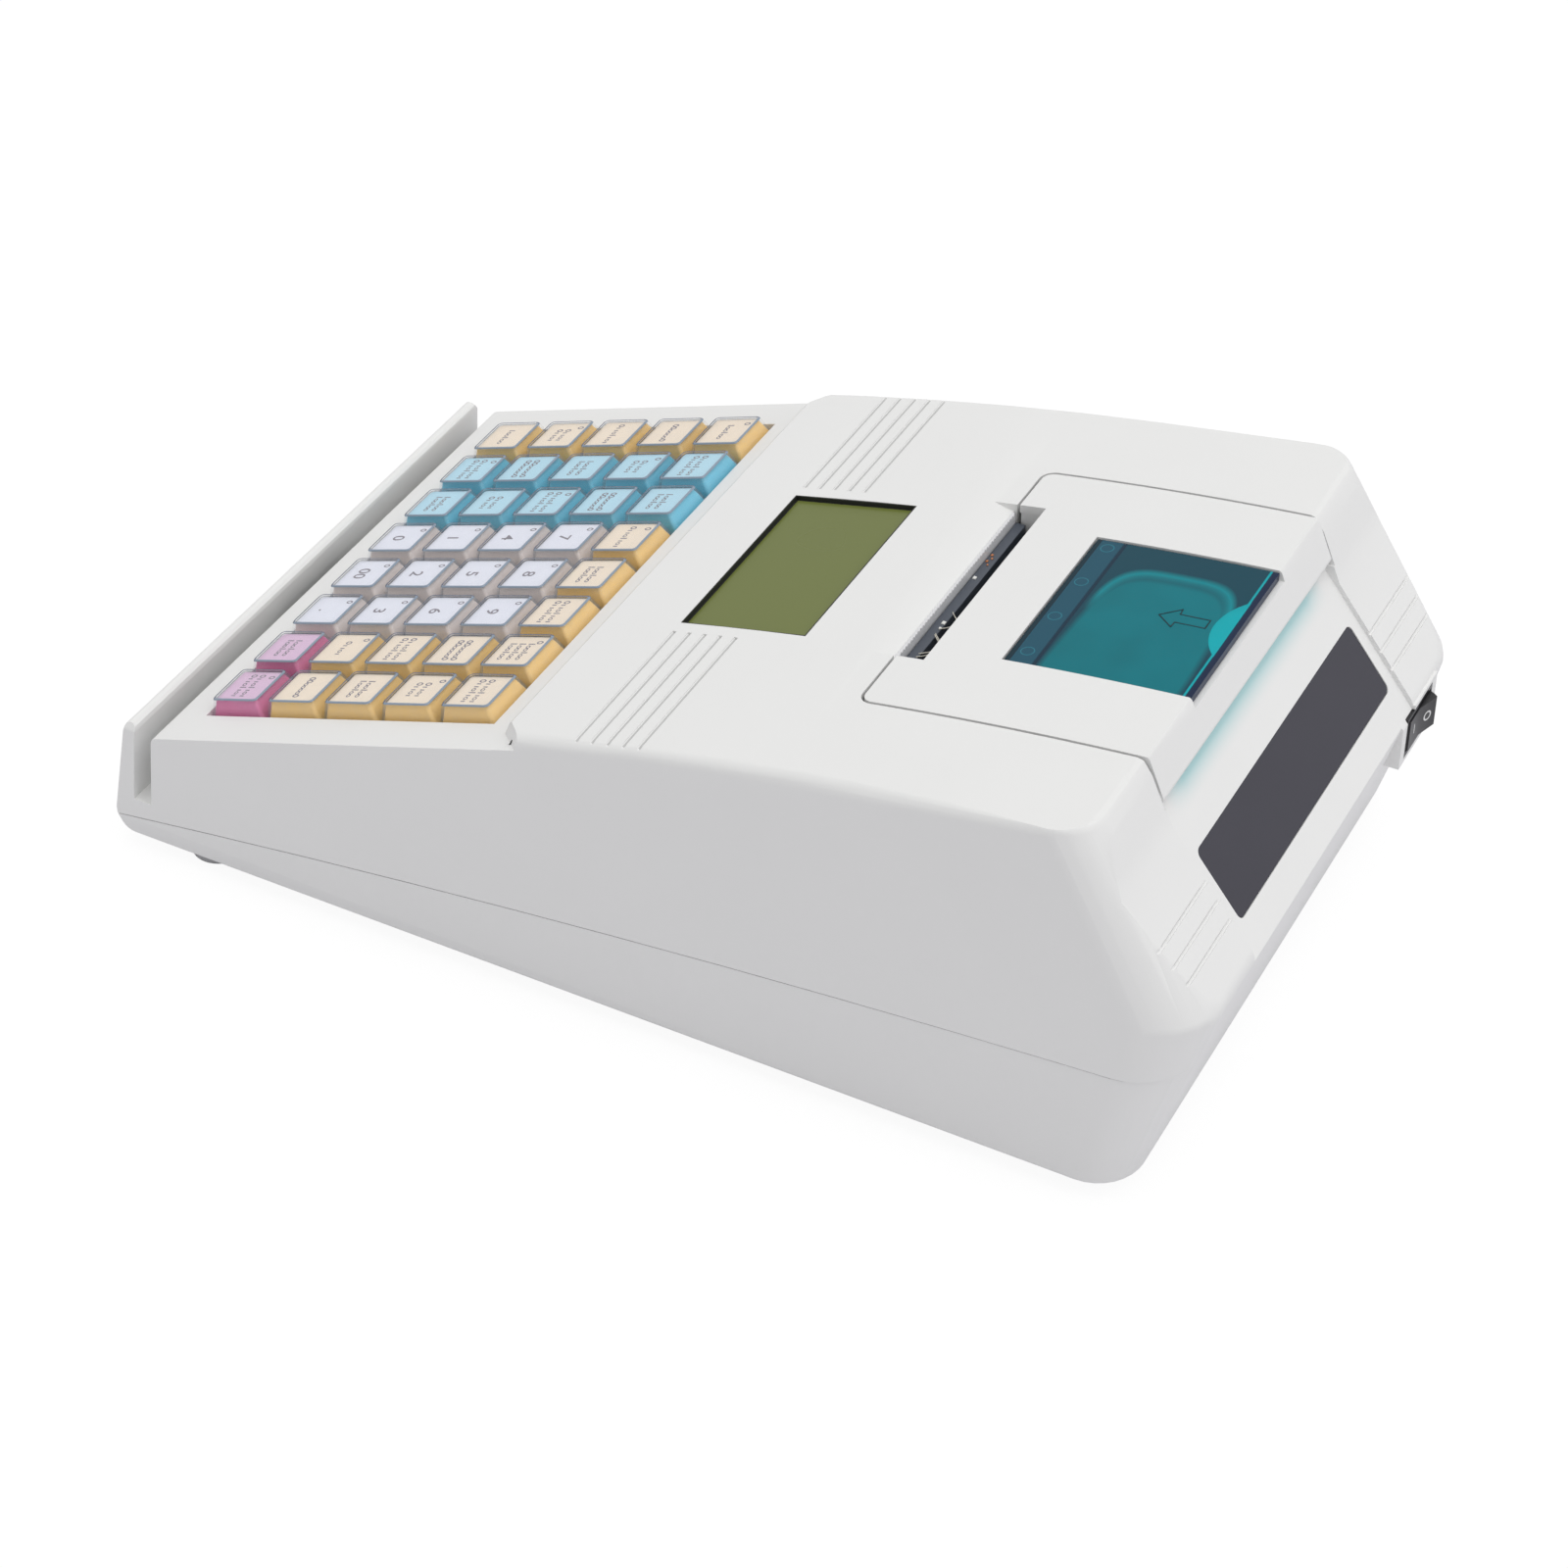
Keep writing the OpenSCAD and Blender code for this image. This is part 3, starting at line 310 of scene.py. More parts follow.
def choose(kind, test):
    """In edit mode, selects the vertices, edges or faces that pass a test. Returns how many."""
    mesh = bpy.context.object.data
    bpy.ops.mesh.select_mode(type=kind)
    bpy.ops.mesh.select_all(action="DESELECT")
    shape = bmesh.from_edit_mesh(mesh)
    shape.normal_update()
    chosen = [e for e in {"VERT": shape.verts, "EDGE": shape.edges, "FACE": shape.faces}[kind] if test(e)]
    if not chosen:
        raise RuntimeError(f"{bpy.context.object.name}: nothing to select")
    for element in chosen:
        element.select_set(True)
    bmesh.update_edit_mesh(mesh)
    return len(chosen)


def middle(element):
    """Middle of an edge or face."""
    return sum((v.co for v in element.verts), Vector()) / len(element.verts)


def block(name, size, centre):
    """A box to start from, in the piece's own frame."""
    deselect()
    bpy.ops.mesh.primitive_cube_add(size=1, location=centre)
    obj = bpy.context.object
    obj.name = name
    obj.scale = size
    bpy.ops.object.transform_apply(location=True, rotation=True, scale=True)
    return obj


def apply(obj, kind, **settings):
    """Adds a modifier and applies it."""
    pick(obj)
    modifier = obj.modifiers.new(kind, kind)
    for key, value in settings.items():
        setattr(modifier, key, value)
    bpy.ops.object.modifier_apply(modifier=modifier.name)
    return obj


def smooth(obj, degrees=32):
    pick(obj)
    bpy.ops.object.shade_smooth_by_angle(angle=math.radians(degrees))
    apply(obj, "WEIGHTED_NORMAL", keep_sharp=True)
    return obj


def join(name, pieces):
    """Joins pieces into one object that stands at the origin."""
    deselect()
    for piece in pieces:
        piece.select_set(True)
    bpy.context.view_layer.objects.active = pieces[0]
    if len(pieces) > 1:
        bpy.ops.object.join()
    obj = bpy.context.object
    obj.name = obj.data.name = name
    return obj


def lay(obj, matrix):
    """Moves a mesh that was made in millimetres to its place in the frame."""
    obj.data.transform(matrix @ Matrix.Scale(MM, 4))
    obj.data.update()
    return obj


def paint(obj, *materials):
    """Gives a piece its materials; each face keeps its number."""
    numbers = [min(face.material_index, len(materials) - 1) for face in obj.data.polygons]
    obj.data.materials.clear()
    for material in materials:
        obj.data.materials.append(material)
    obj.data.polygons.foreach_set("material_index", numbers)
    return obj


def carry(obj, body, slot, *nodes):
    """Hands a finished piece to its body and hides the nodes that it stands for; its slot is not used."""
    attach(obj, body)
    if nodes:
        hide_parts(*nodes)
    return obj


def cast_of(node, name):
    """A joined-up copy of a node's surface."""
    obj = bpy.data.objects.new(name, frame["nodes"][node].data.copy())
    bpy.context.scene.collection.objects.link(obj)
    edit(obj)
    bpy.ops.mesh.select_all(action="SELECT")
    bpy.ops.mesh.customdata_custom_splitnormals_clear()
    bpy.ops.mesh.remove_doubles(threshold=1e-6)
    bpy.ops.object.mode_set(mode="OBJECT")
    return obj


def dress(node, name, body, slot, material, degrees=32):
    """Stands a smoothly shaded copy in for a node."""
    return carry(paint(smooth(cast_of(node, name), degrees), material), body, slot, node)


def facing(node, direction):
    """Frame on the largest face of a node that looks a given way: x stays level, z points out of it."""
    mesh = frame["nodes"][node].data
    way = Vector(direction).normalized()
    best = max((p for p in mesh.polygons if p.normal.dot(way) > 0.7), key=lambda p: p.area)
    out = best.normal.copy()
    flat = [mesh.vertices[v].co for p in mesh.polygons if p.normal.dot(out) > 0.9999
            and abs((p.center - best.center).dot(out)) < 2e-5 for v in p.vertices]
    side = Vector((1, 0, 0))
    up = out.cross(side)
    turn = Matrix((side, up, out)).transposed().to_4x4()
    spread = [turn.to_3x3().transposed() @ (c - best.center) for c in flat]
    centre = Vector([(min(s[i] for s in spread) + max(s[i] for s in spread)) / 2 for i in range(3)])
    return Matrix.Translation(best.center + turn.to_3x3() @ centre) @ turn


def onto(host, x, y):
    """Frame on a piece's surface, straight above a place given in millimetres."""
    hit, point, out, _ = host.ray_cast(Vector((x * MM, y * MM, 1)), Vector((0, 0, -1)))
    if not hit:
        raise RuntimeError(f"{host.name} isn't under {x}, {y}")
    side = (Vector((1, 0, 0)) - out * out.x).normalized()
    return Matrix.Translation(point) @ Matrix((side, out.cross(side), out)).transposed().to_4x4()


# ---- Shells ----

def shell_plastic(name="shell_plastic", over=None):
    colours = bpy.context.scene.register_colours
    found = bpy.data.materials.get(name)
    return found or moulded(name, colours.shell, rough=0.5, grain=0.5, depth=0.01, spread=0.012,
                            edge=0, over=over)


def channel_glow(m, where, base):
    """Teal light from the paper window on the slope behind the lid, gone after four millimetres."""
    x, y, z = m.along(where)
    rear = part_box("printer_lid")[1][1] / MM
    near = m.share((rear + 3.2 - y) * 0.25)
    inside = m.share((50 - abs(x)) * 0.1) * (y > rear - 2) * (z > 84)
    return m.blend(groove_shade(m, x, y, z, base), tint(84, 196, 202), near * near * inside * 0.5)


def nearest(m, value, first, pitch):
    """Distance of a value from the nearest of evenly spaced lines."""
    turns = m.fract((value - first) * (1 / pitch) + 0.5)
    return abs((turns - 0.5) * pitch)


def groove_shade(m, x, y, z, base):
    """Soft shade down the middle of the trim grooves beside the display and at the rear corners."""
    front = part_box("lcd_window")[0][1] / MM + FIRST_GROOVE
    top = (nearest(m, y, front, GROOVE_PITCH) < 0.34) * (abs(y - front - GROOVES_MIDDLE) < 9.6)
    top = top * (abs(abs(x) - 61) < 25) * (z > 80)
    rear = nearest(m, z, REAR_GROOVE_TOP, REAR_GROOVE_DROP) < 0.22
    rear = rear * (abs(z - REAR_GROOVES_MIDDLE) < 5.1) * (abs(abs(x) - 69.5) < 12) * (y > 132)
    return m.blend(base, shade(bpy.context.scene.register_colours.shell, 0.68), top + rear * 0.7)


class REGISTER_OT_shells(bpy.types.Operator):
    """Dress the upper and lower shells"""
    bl_idname = "register.shells"
    bl_label = "Case shells"

    def execute(self, context):
        lit = shell_plastic("shell_upper_plastic", channel_glow)
        dress("upper_case", "shell_upper", "case", "case_plastic", lit)
        dress("lower_case", "shell_lower", "case", "case_plastic", shell_plastic())
        # small gussets close the gap that the step's corner leaves in the upper shell
        gussets = []
        for side in (-1, 1):
            gusset = block("gusset", (4.2, 4.2, 1.6), (0, 0, -0.9))
            edit(gusset)
            choose("EDGE", lambda e: abs((e.verts[0].co - e.verts[1].co).z) > 1)
            bpy.ops.mesh.bevel(offset=0.6, segments=2, affect="EDGES")
            bpy.ops.object.mode_set(mode="OBJECT")
            mirror = Vector((side, 1, 1))
            out = (Vector(STEP_CORNER_OUT) * mirror).normalized()
            turn = out.to_track_quat("Z", "Y").to_matrix().to_4x4()
            lay(gusset, Matrix.Translation(Vector(STEP_CORNER) * mirror * MM) @ turn)
            gussets.append(paint(gusset, shell_plastic()))
        carry(join("step_gussets", gussets), "case", "case_plastic")
        return {"FINISHED"}


# ---- Keys ----

def tapered(name, base, top, low, waist, high, corner, crown):
    """A key's outer form in millimetres: square to the waist, then drawn in to the top."""
    obj = block(name, (base, base, waist - low), (0, 0, (waist + low) / 2))
    edit(obj)
    choose("FACE", lambda f: f.normal.z > 0.9)
    bpy.ops.mesh.extrude_region_move(TRANSFORM_OT_translate={"value": (0, 0, high - waist)})
    bpy.ops.transform.resize(value=(top / base, top / base, 1), center_override=(0, 0, high))
    choose("EDGE", lambda e: abs(middle(e).x) > top / 2 - 0.2 and abs(middle(e).y) > top / 2 - 0.2)
    bpy.ops.mesh.bevel(offset=corner, segments=3, affect="EDGES")
    choose("EDGE", lambda e: all(v.co.z > high - 0.01 for v in e.verts))
    bpy.ops.mesh.bevel(offset=crown, segments=2, affect="EDGES")
    bpy.ops.object.mode_set(mode="OBJECT")
    return obj


def key_cover(wall):
    """Clear cover, open below, with painted refraction at its rim: a dark line of painted shade at two sides
    and a light line of painted highlight at the others.
    """
    obj = tapered("cover", COVER_BASE, COVER_TOP, -4.4, -1, 3.9, 1.3, 0.4)
    edit(obj)
    choose("FACE", lambda f: f.normal.z < -0.9)
    bpy.ops.mesh.delete(type="FACE")
    choose("FACE", lambda f: f.normal.z > 0.9 and f.calc_area() > 90)
    bpy.ops.mesh.inset(thickness=0.3)
    bpy.ops.object.mode_set(mode="OBJECT")
    # the rim's far faces take the painted shade and its slanted near faces the painted highlight
    for face in obj.data.polygons:
        if face.center.z > 3.4 and face.area < 90:
            near = face.center.x + face.center.y > 0
            if face.normal.z < 0.95 or not near:
                face.material_index = 2 if near else 1
    return smooth(apply(obj, "SOLIDIFY", thickness=wall, offset=-1, use_even_offset=True), 40)


def key_core():
    """Coloured body with a card on top and a square stem below."""
    obj = tapered("core", CORE_BASE, CORE_TOP, -4.2, -1, 3.2, 1.0, 0.15)
    edit(obj)
    choose("FACE", lambda f: f.normal.z > 0.95 and f.calc_area() > 90)
    bpy.ops.mesh.inset(thickness=0.1)
    bpy.ops.mesh.extrude_region_move(TRANSFORM_OT_translate={"value": (0, 0, 0.06)})
    stem = block("stem", (STEM, STEM, STEM_LENGTH), (0, 0, STEM_MIDDLE))
    edit(stem)
    choose("EDGE", lambda e: min(v.co.z for v in e.verts) < -12.4)
    bpy.ops.mesh.bevel(offset=0.4, segments=2, affect="EDGES")
    bpy.ops.object.mode_set(mode="OBJECT")
    obj = join("core", [obj, stem])
    for face in obj.data.polygons:
        face.material_index = int(face.center.z > 3.17)
    return smooth(obj, 40)


def figure(text, height, x, y, z):
    """A figure as a thin mesh, its middle at x, y."""
    deselect()
    bpy.ops.object.text_add(location=(0, 0, 0))
    obj = bpy.context.object
    obj.data.body = text
    obj.data.size = height / 0.72
    obj.data.align_x, obj.data.align_y = "CENTER", "CENTER"
    obj.data.extrude, obj.data.resolution_u, obj.data.offset = 0.01, 4, 0.05
    bpy.ops.object.convert(target="MESH")
    obj = bpy.context.object
    obj.data.transform(Matrix.Translation((x, y, z)))
    return obj


def strokes():
    """The two strokes that legends are made of: a bar and a ring, one millimetre high."""
    bar = block("bar", (0.24, 1, 0.02), (0, 0, 0))
    edit(bar)
    choose("EDGE", lambda e: abs((e.verts[0].co - e.verts[1].co).z) > 0.01)
    bpy.ops.mesh.bevel(offset=0.1, segments=2, affect="EDGES")
    bpy.ops.object.mode_set(mode="OBJECT")
    deselect()
    bpy.ops.mesh.primitive_torus_add(major_segments=10, minor_segments=4, major_radius=0.37,
                                     minor_radius=0.11)
    ring = bpy.context.object
    ring.data.transform(Matrix.Diagonal((0.9, 1, 0.1, 1)))
    return bar, ring


def word_line(shapes, count, size, x, y, z):
    """A line of generic legend: a row of bars and rings of uneven height, centred on x and y."""
    pieces = []
    for i in range(count):
        tall = size * (1 if i == 0 or (3 * i + count) % 5 == 0 else 0.64)
        piece = shapes[(i * i + count) % 3 > 0].copy()
        piece.data = piece.data.copy()
        bpy.context.scene.collection.objects.link(piece)
        place = Matrix.Translation((x + (i - (count - 1) / 2) * size * 0.62, y + (tall - size) / 2, z))
        piece.data.transform(place @ Matrix.Diagonal((size * 0.8, tall, 1, 1)))
        pieces.append(piece)
    return pieces


def clear_cover():
    m = Finish("clear_cover", Base_Color=(0.8, 0.88, 1.0), Specular_IOR_Level=0.5)
    haze = m.noise(3.0, 2)
    return m.set(Roughness=0.04 + haze * 0.06, Alpha=0.06 + haze * 0.05).relief(haze, 0.01).material


def card(name, colour):
    m = Finish(name, Specular_IOR_Level=0.3)
    fibre = m.noise(0.25, 3)
    m.set(Base_Color=m.blend(shade(colour, 0.95), shade(colour, 1.03), fibre),
          Roughness=0.55 + fibre * 0.2)
    return m.relief(fibre, 0.01).material


class REGISTER_OT_keys(bpy.types.Operator):
    """Model the forty keys, each with a clear cover, a coloured body, a card and its legend"""
    bl_idname = "register.keys"
    bl_label = "Keys"

    def execute(self, context):
        colours, sizes = context.scene.register_colours, context.scene.register_sizes
        cover, core = key_cover(sizes.cover_wall / MM), key_core()
        clear, letters = clear_cover(), strokes()
        # painted shade and painted highlight for the rims of the clear covers
        painted_rims = [moulded(name, colour, rough=0.25, grain=0.6, depth=0.004, spread=0.06, edge=0)
                for name, colour in (("rim_dark", tint(84, 92, 112)), ("rim_light", tint(138, 152, 168)))]
        ink = card("legend_ink", colours.ink)
        bodies = {letter: moulded(f"key_{word}", getattr(colours, word), rough=0.35, grain=0.4, depth=0.008,
                                  spread=0.03, edge=0.0002)
                  for letter, word in zip("OBPW", ("orange", "blue", "pink", "white"))}
        cards = {letter: card(f"card_{word}", getattr(colours, word + "_card"))
                 for letter, word in zip("OBPW", ("orange", "blue", "pink", "white"))}
        places = {j["child"]: j for j in frame["joints"] if j["type"] == "slide"}
        for column in range(1, 9):
            for row in range(1, 6):
                letter = KEY_COLOURS[column - 1][row - 1]
                figures = KEY_FIGURES.get(column, "")
                legend = []
                if row <= len(figures):
                    legend = [figure(figures[row - 1], sizes.figure / MM, 0, -1.6, LEGEND_HEIGHT)]
                lines = KEY_LINES[column][row - 1]
                for line in range(lines):
                    count = 5 + (3 * row + 2 * column + 4 * line) % 4
                    up = ((lines - 1) / 2 - line) * LEGEND_PITCH - 0.4
                    legend += word_line(letters, count, sizes.line / MM, 0, up, LEGEND_HEIGHT)
                if legend and (lines == 0 or (row + column) % 3 == 0):
                    legend += word_line(letters, 1, sizes.line / MM, -4.2, 4.6, LEGEND_HEIGHT)
                shape = [cover.copy(), core.copy()]
                for piece in shape:
                    piece.data = piece.data.copy()
                    context.scene.collection.objects.link(piece)
                paint(shape[0], clear, *painted_rims)
                paint(shape[1], bodies[letter], cards[letter])
                for piece in legend:
                    paint(piece, ink)
                node = f"key_r{row}_c{column}"
                key = join(f"cap_r{row}_c{column}", shape + legend)
                out = -Vector(places[node]["axis"])
                side = Vector((1, 0, 0))
                turn = Matrix((side, out.cross(side), out)).transposed().to_4x4()
                lay(key, Matrix.Translation(places[node]["pos_m"]) @ turn)
                carry(key, node, "key_plastic", node)
        for piece in (cover, core, *letters):
            bpy.data.objects.remove(piece)
        return {"FINISHED"}


# ---- Displays ----

class REGISTER_OT_operator_display(bpy.types.Operator):
    """Model the operator display's glass with the dark line round it"""
    bl_idname = "register.operator_display"
    bl_label = "Operator display"

    def execute(self, context):
        colours, sizes = context.scene.register_colours, context.scene.register_sizes
        seat = facing("lcd_window", (0, -0.2, 1))
        glass = block("display_glass", (GLASS_WIDE, GLASS_LONG, GLASS_THICK), (0, 0, -GLASS_THICK / 2))
        edit(glass)
        choose("FACE", lambda f: f.normal.z > 0.9)
        bpy.ops.mesh.inset(thickness=3.05)
        bpy.ops.mesh.inset(thickness=0.3)
        choose("FACE", lambda f: f.normal.z > 0.9 and 3.1 < min(
            GLASS_WIDE / 2 - abs(middle(f).x), GLASS_LONG / 2 - abs(middle(f).y)) < 3.4)
        bpy.ops.mesh.extrude_region_move(TRANSFORM_OT_translate={"value": (0, 0, 1.15)})
        choose("FACE", lambda f: f.normal.z > 0.9 and f.calc_area() > 1500)
        bpy.ops.mesh.inset(thickness=sizes.gasket / MM)
        bpy.ops.object.mode_set(mode="OBJECT")
        for face in glass.data.polygons:
            central = abs(face.center.x) < 5 and abs(face.center.y) < 5
            face.material_index = int(not (face.normal.z > 0.9 and central))
        m = Finish("liquid_crystal", Specular_IOR_Level=0.25)
        where = m.place()
        broad = m.noise(30, 1, where)
        x, y, _ = m.along(where)
        dots = (m.fract(x * 1.9) > 0.12) * (m.fract(y * 1.9) > 0.12)
        green = m.blend(shade(colours.lcd, 0.96), shade(colours.lcd, 1.04), broad)
        m.set(Base_Color=m.blend(shade(colours.lcd, 0.97), green, dots), Roughness=0.25 + broad * 0.06)
        black = moulded("gasket_black", tint(30, 32, 28), rough=0.5, edge=0)
        lay(paint(glass, m.relief(broad, 0.01).material, black), seat)
        carry(glass, "case", "lcd_glass", "lcd_window")
        board = moulded("module_green", tint(24, 70, 46), rough=0.4)
        dress("lcd_module", "display_module", "case", "circuit_board", board)
        return {"FINISHED"}


class REGISTER_OT_customer_display(bpy.types.Operator):
    """Dress the smoked pane of the customer display and its module"""
    bl_idname = "register.customer_display"
    bl_label = "Customer display"

    def execute(self, context):
        colours = context.scene.register_colours
        m = Finish("smoked_pane", Specular_IOR_Level=0.25)
        where = m.place()
        haze, fine = m.noise(18, 2, where), m.noise(0.4, 3, where)
        m.set(Base_Color=m.blend(shade(colours.pane, 0.94), shade(colours.pane, 1.06), haze),
              Roughness=0.3 + fine * 0.1)
        smoked = m.relief(fine, 0.006, 0.0002).material
        dress("customer_window", "customer_pane", "case", "smoked_plastic", smoked)
        board = moulded("board_green", tint(26, 78, 50), rough=0.45)
        dress("customer_display", "customer_module", "case", "circuit_board", board)
        return {"FINISHED"}


# ---- Printer ----

def window_plastic(colours, front, rear):
    """Clear teal plastic, from its front edge to its rear edge in millimetres.

    It is darker over the roller and has four moulded rings there, with painted shade along its front edge
    and a painted shadow line where that darker band ends. Outside the rim of the paper bucket it is darker,
    as painted shade, the rim itself is a painted highlight, it shows the lid's tab, and it ends in a painted
    bright edge light and a dark line.
    """
    m = Finish("teal_clear", Transmission_Weight=0.35, IOR=1.25, Specular_IOR_Level=0.3)
    where = m.place()
    x, y, _ = m.along(where)
    flow = m.noise(14, 1, where)
    across, back = (x - 12) * (1 / 30), (y - front - 27.3) * (1 / 17.5)
    across, back = across * across, back * back
    rim = across * across + back * back
    flowing = m.blend(shade(colours.teal, 0.86), shade(colours.teal, 1.12), flow)
    # painted shade: darker outside the rim of the paper bucket
    colour = m.blend(tint(22, 84, 102), flowing, m.share((1.1 - rim) * 2.5 + x * 0.03))
    # painted highlight along the rim of the paper bucket
    rim_highlight = m.share(1 - abs(rim - 1) * 3.2) * m.share((2 - x) * 0.12)
    colour = m.blend(colour, colours.glow, rim_highlight * 0.6)
    colour = m.blend(colour, tint(44, 104, 128), (y < front + 7.2) * 0.75)
    # painted shade along the front edge
    colour = m.blend(colour, tint(6, 38, 50), (y < front + 1.3) * 0.8)
    # painted shadow line at the back of the darker band
    colour = m.blend(colour, tint(18, 54, 78), m.share(1.6 - abs(y - front - 7.7) * 2) * 0.85)
    step = m.fract((x + 33.4) * (1 / 16.2)) * 16.2 - 8.1
    disc = step * step + (y - front - 3.9) * (y - front - 3.9)
    colour = m.blend(colour, tint(56, 150, 170), (abs(disc - 2.9) < 0.55) * 0.7)
    tab = (x + 1.5) * (x + 1.5) + (y - rear - 11.5) * (y - rear - 11.5)
    colour = m.blend(colour, colours.glow, tab < 18 * 18)
    # painted edge light just in front of the dark rear line
    colour = m.blend(colour, colours.glow, abs(y - rear + 2.0) < 0.3)
    colour = m.blend(colour, colours.navy, y > rear - 1.6)
    m.set(Base_Color=colour, Roughness=0.03 + flow * 0.04)
    return m.relief(flow, 0.02).material


def bar_between(start, end, wide, thick):
    """A thin bar from one point to another, with rounded ends, on the plane z = 0."""
    start, end = Vector((*start, 0)), Vector((*end, 0))
    way = end - start
    bar = block("bar", (way.length + wide, wide, thick), (0, 0, 0))
    edit(bar)
    choose("EDGE", lambda e: abs((e.verts[0].co - e.verts[1].co).z) > thick / 2)
    bpy.ops.mesh.bevel(offset=wide * 0.45, segments=2, affect="EDGES")
    bpy.ops.object.mode_set(mode="OBJECT")
    turn = Matrix.Rotation(math.atan2(way.y, way.x), 4, "Z")
    bar.data.transform(Matrix.Translation((start + end) / 2) @ turn)
    return bar


class REGISTER_OT_printer_lid(bpy.types.Operator):
    """Dress the printer lid and model its teal window with the arrow on it"""
    bl_idname = "register.printer_lid"
    bl_label = "Printer lid and window"

    def execute(self, context):
        colours = context.scene.register_colours
        dress("printer_lid", "lid", "printer_lid", "case_plastic", shell_plastic())
        low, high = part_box("paper_window")
        plastic = window_plastic(colours, low[1] / MM, high[1] / MM)
        pane = dress("paper_window", "window_pane", "paper_window", "teal_plastic", plastic)
        tail, neck, head, tip = 6.3, -1.7, -1.9, -6.6
        shaft, barb = 1.8, 4.0
        outline = [(-shaft, tail), (-shaft, neck), (-barb, head), (0, tip),
                   (barb, head), (shaft, neck), (shaft, tail)]
        bars = [bar_between(a, b, 0.36, 0.08) for a, b in zip(outline, outline[1:] + outline[:1])]
        arrow = paint(join("window_arrow", bars), card("arrow_ink", tint(4, 44, 52)))
        lay(arrow, onto(pane, -1.4, low[1] / MM + 34.6))
        carry(arrow, "paper_window", "teal_plastic")
        return {"FINISHED"}


def wire(name, points, thick):
    """A thin round wire through points, in millimetres."""
    deselect()
    bpy.ops.curve.primitive_bezier_curve_add()
    obj = bpy.context.object
    obj.name = name
    spline = obj.data.splines[0]
    spline.bezier_points.add(len(points) - 2)
    for knot, point in zip(spline.bezier_points, points):
        knot.co = point
        knot.handle_left_type = knot.handle_right_type = "AUTO"
    obj.data.bevel_depth, obj.data.bevel_resolution, obj.data.resolution_u = thick / 2, 1, 6
    obj.data.use_fill_caps = True
    bpy.ops.object.convert(target="MESH")
    return bpy.context.object


class REGISTER_OT_printer(bpy.types.Operator):
    """Dress the printer mechanism under the lid and add the small parts on its head"""
    bl_idname = "register.printer"
    bl_label = "Printer mechanism"

    def execute(self, context):
        dark = moulded("chassis_black", tint(24, 25, 28), rough=0.45, grain=0.4, depth=0.01, spread=0.08)
        dress("print_frame", "chassis", "case", "dark_plastic", dark)
        slate = moulded("head_slate", tint(78, 84, 94), rough=0.4, grain=0.3, depth=0.006, spread=0.06)
        dress("thermal_head", "head", "case", "dark_metal", slate)
        # the blade is near-white and not metal: its colour is a painted highlight for the glint of its steel
        # teeth
        steel = moulded("blade_steel", tint(238, 238, 240), rough=0.25)
        dress("tear_bar", "blade", "case", "blade_steel", steel)
        rubber = moulded("roller_rubber", tint(30, 30, 33), rough=0.7, grain=0.2, depth=0.02, spread=0.08)
        dress("platen_roller", "platen", "platen_roller", "roller_rubber", rubber)
        grey = moulded("bucket_grey", tint(214, 220, 226), rough=0.5, grain=0.5, spread=0.02)
        dress("paper_bucket", "bucket", "case", "grey_plastic", grey)
        top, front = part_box("thermal_head")[1][2] / MM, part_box("thermal_head")[0][1] / MM
        copper = brushed("chip_copper", tint(226, 150, 104), 0.35)
        chips_and_glint = []
        for x, y, size in CHIPS_AND_GLINT:
            chip = block("chip", (size, size * 0.8, 0.3), (x, front + y, top + 0.15))
            edit(chip)
            choose("FACE", lambda f: f.normal.z > 0.9)
            bpy.ops.mesh.bevel(offset=0.08, segments=1, affect="EDGES")
            bpy.ops.object.mode_set(mode="OBJECT")
            chips_and_glint.append(chip)
        # white for the last three; the one at x -10 is a painted highlight
        bright = card("chip_white", tint(236, 236, 232))
        for chip, material in zip(chips_and_glint, [copper] * COPPER_CHIPS + [bright] * (len(CHIPS_AND_GLINT) - COPPER_CHIPS)):
            paint(chip, material)
        lay(carry(join("head_chips", chips_and_glint), "case", "dark_metal"), Matrix.Identity(4))
        strands = []
        for x, reach in ((27, 8), (25.5, 6), (14, 5)):
            path = [(x, front + 2.2, top + 0.15), (x - 3, front + 4.6, top - 0.2),
                    (x - reach, front + 4.9, top - 0.5), (x - reach - 3, front + 2.3, top + 0.15)]
            strands.append(wire("strand", path, 0.3))
        pale = moulded("wire_pale", tint(206, 202, 190), rough=0.4, edge=0)
        harness = paint(join("head_wires", strands), pale)
        lay(carry(harness, "case", "dark_metal"), Matrix.Identity(4))
        return {"FINISHED"}


# ---- Switch ----

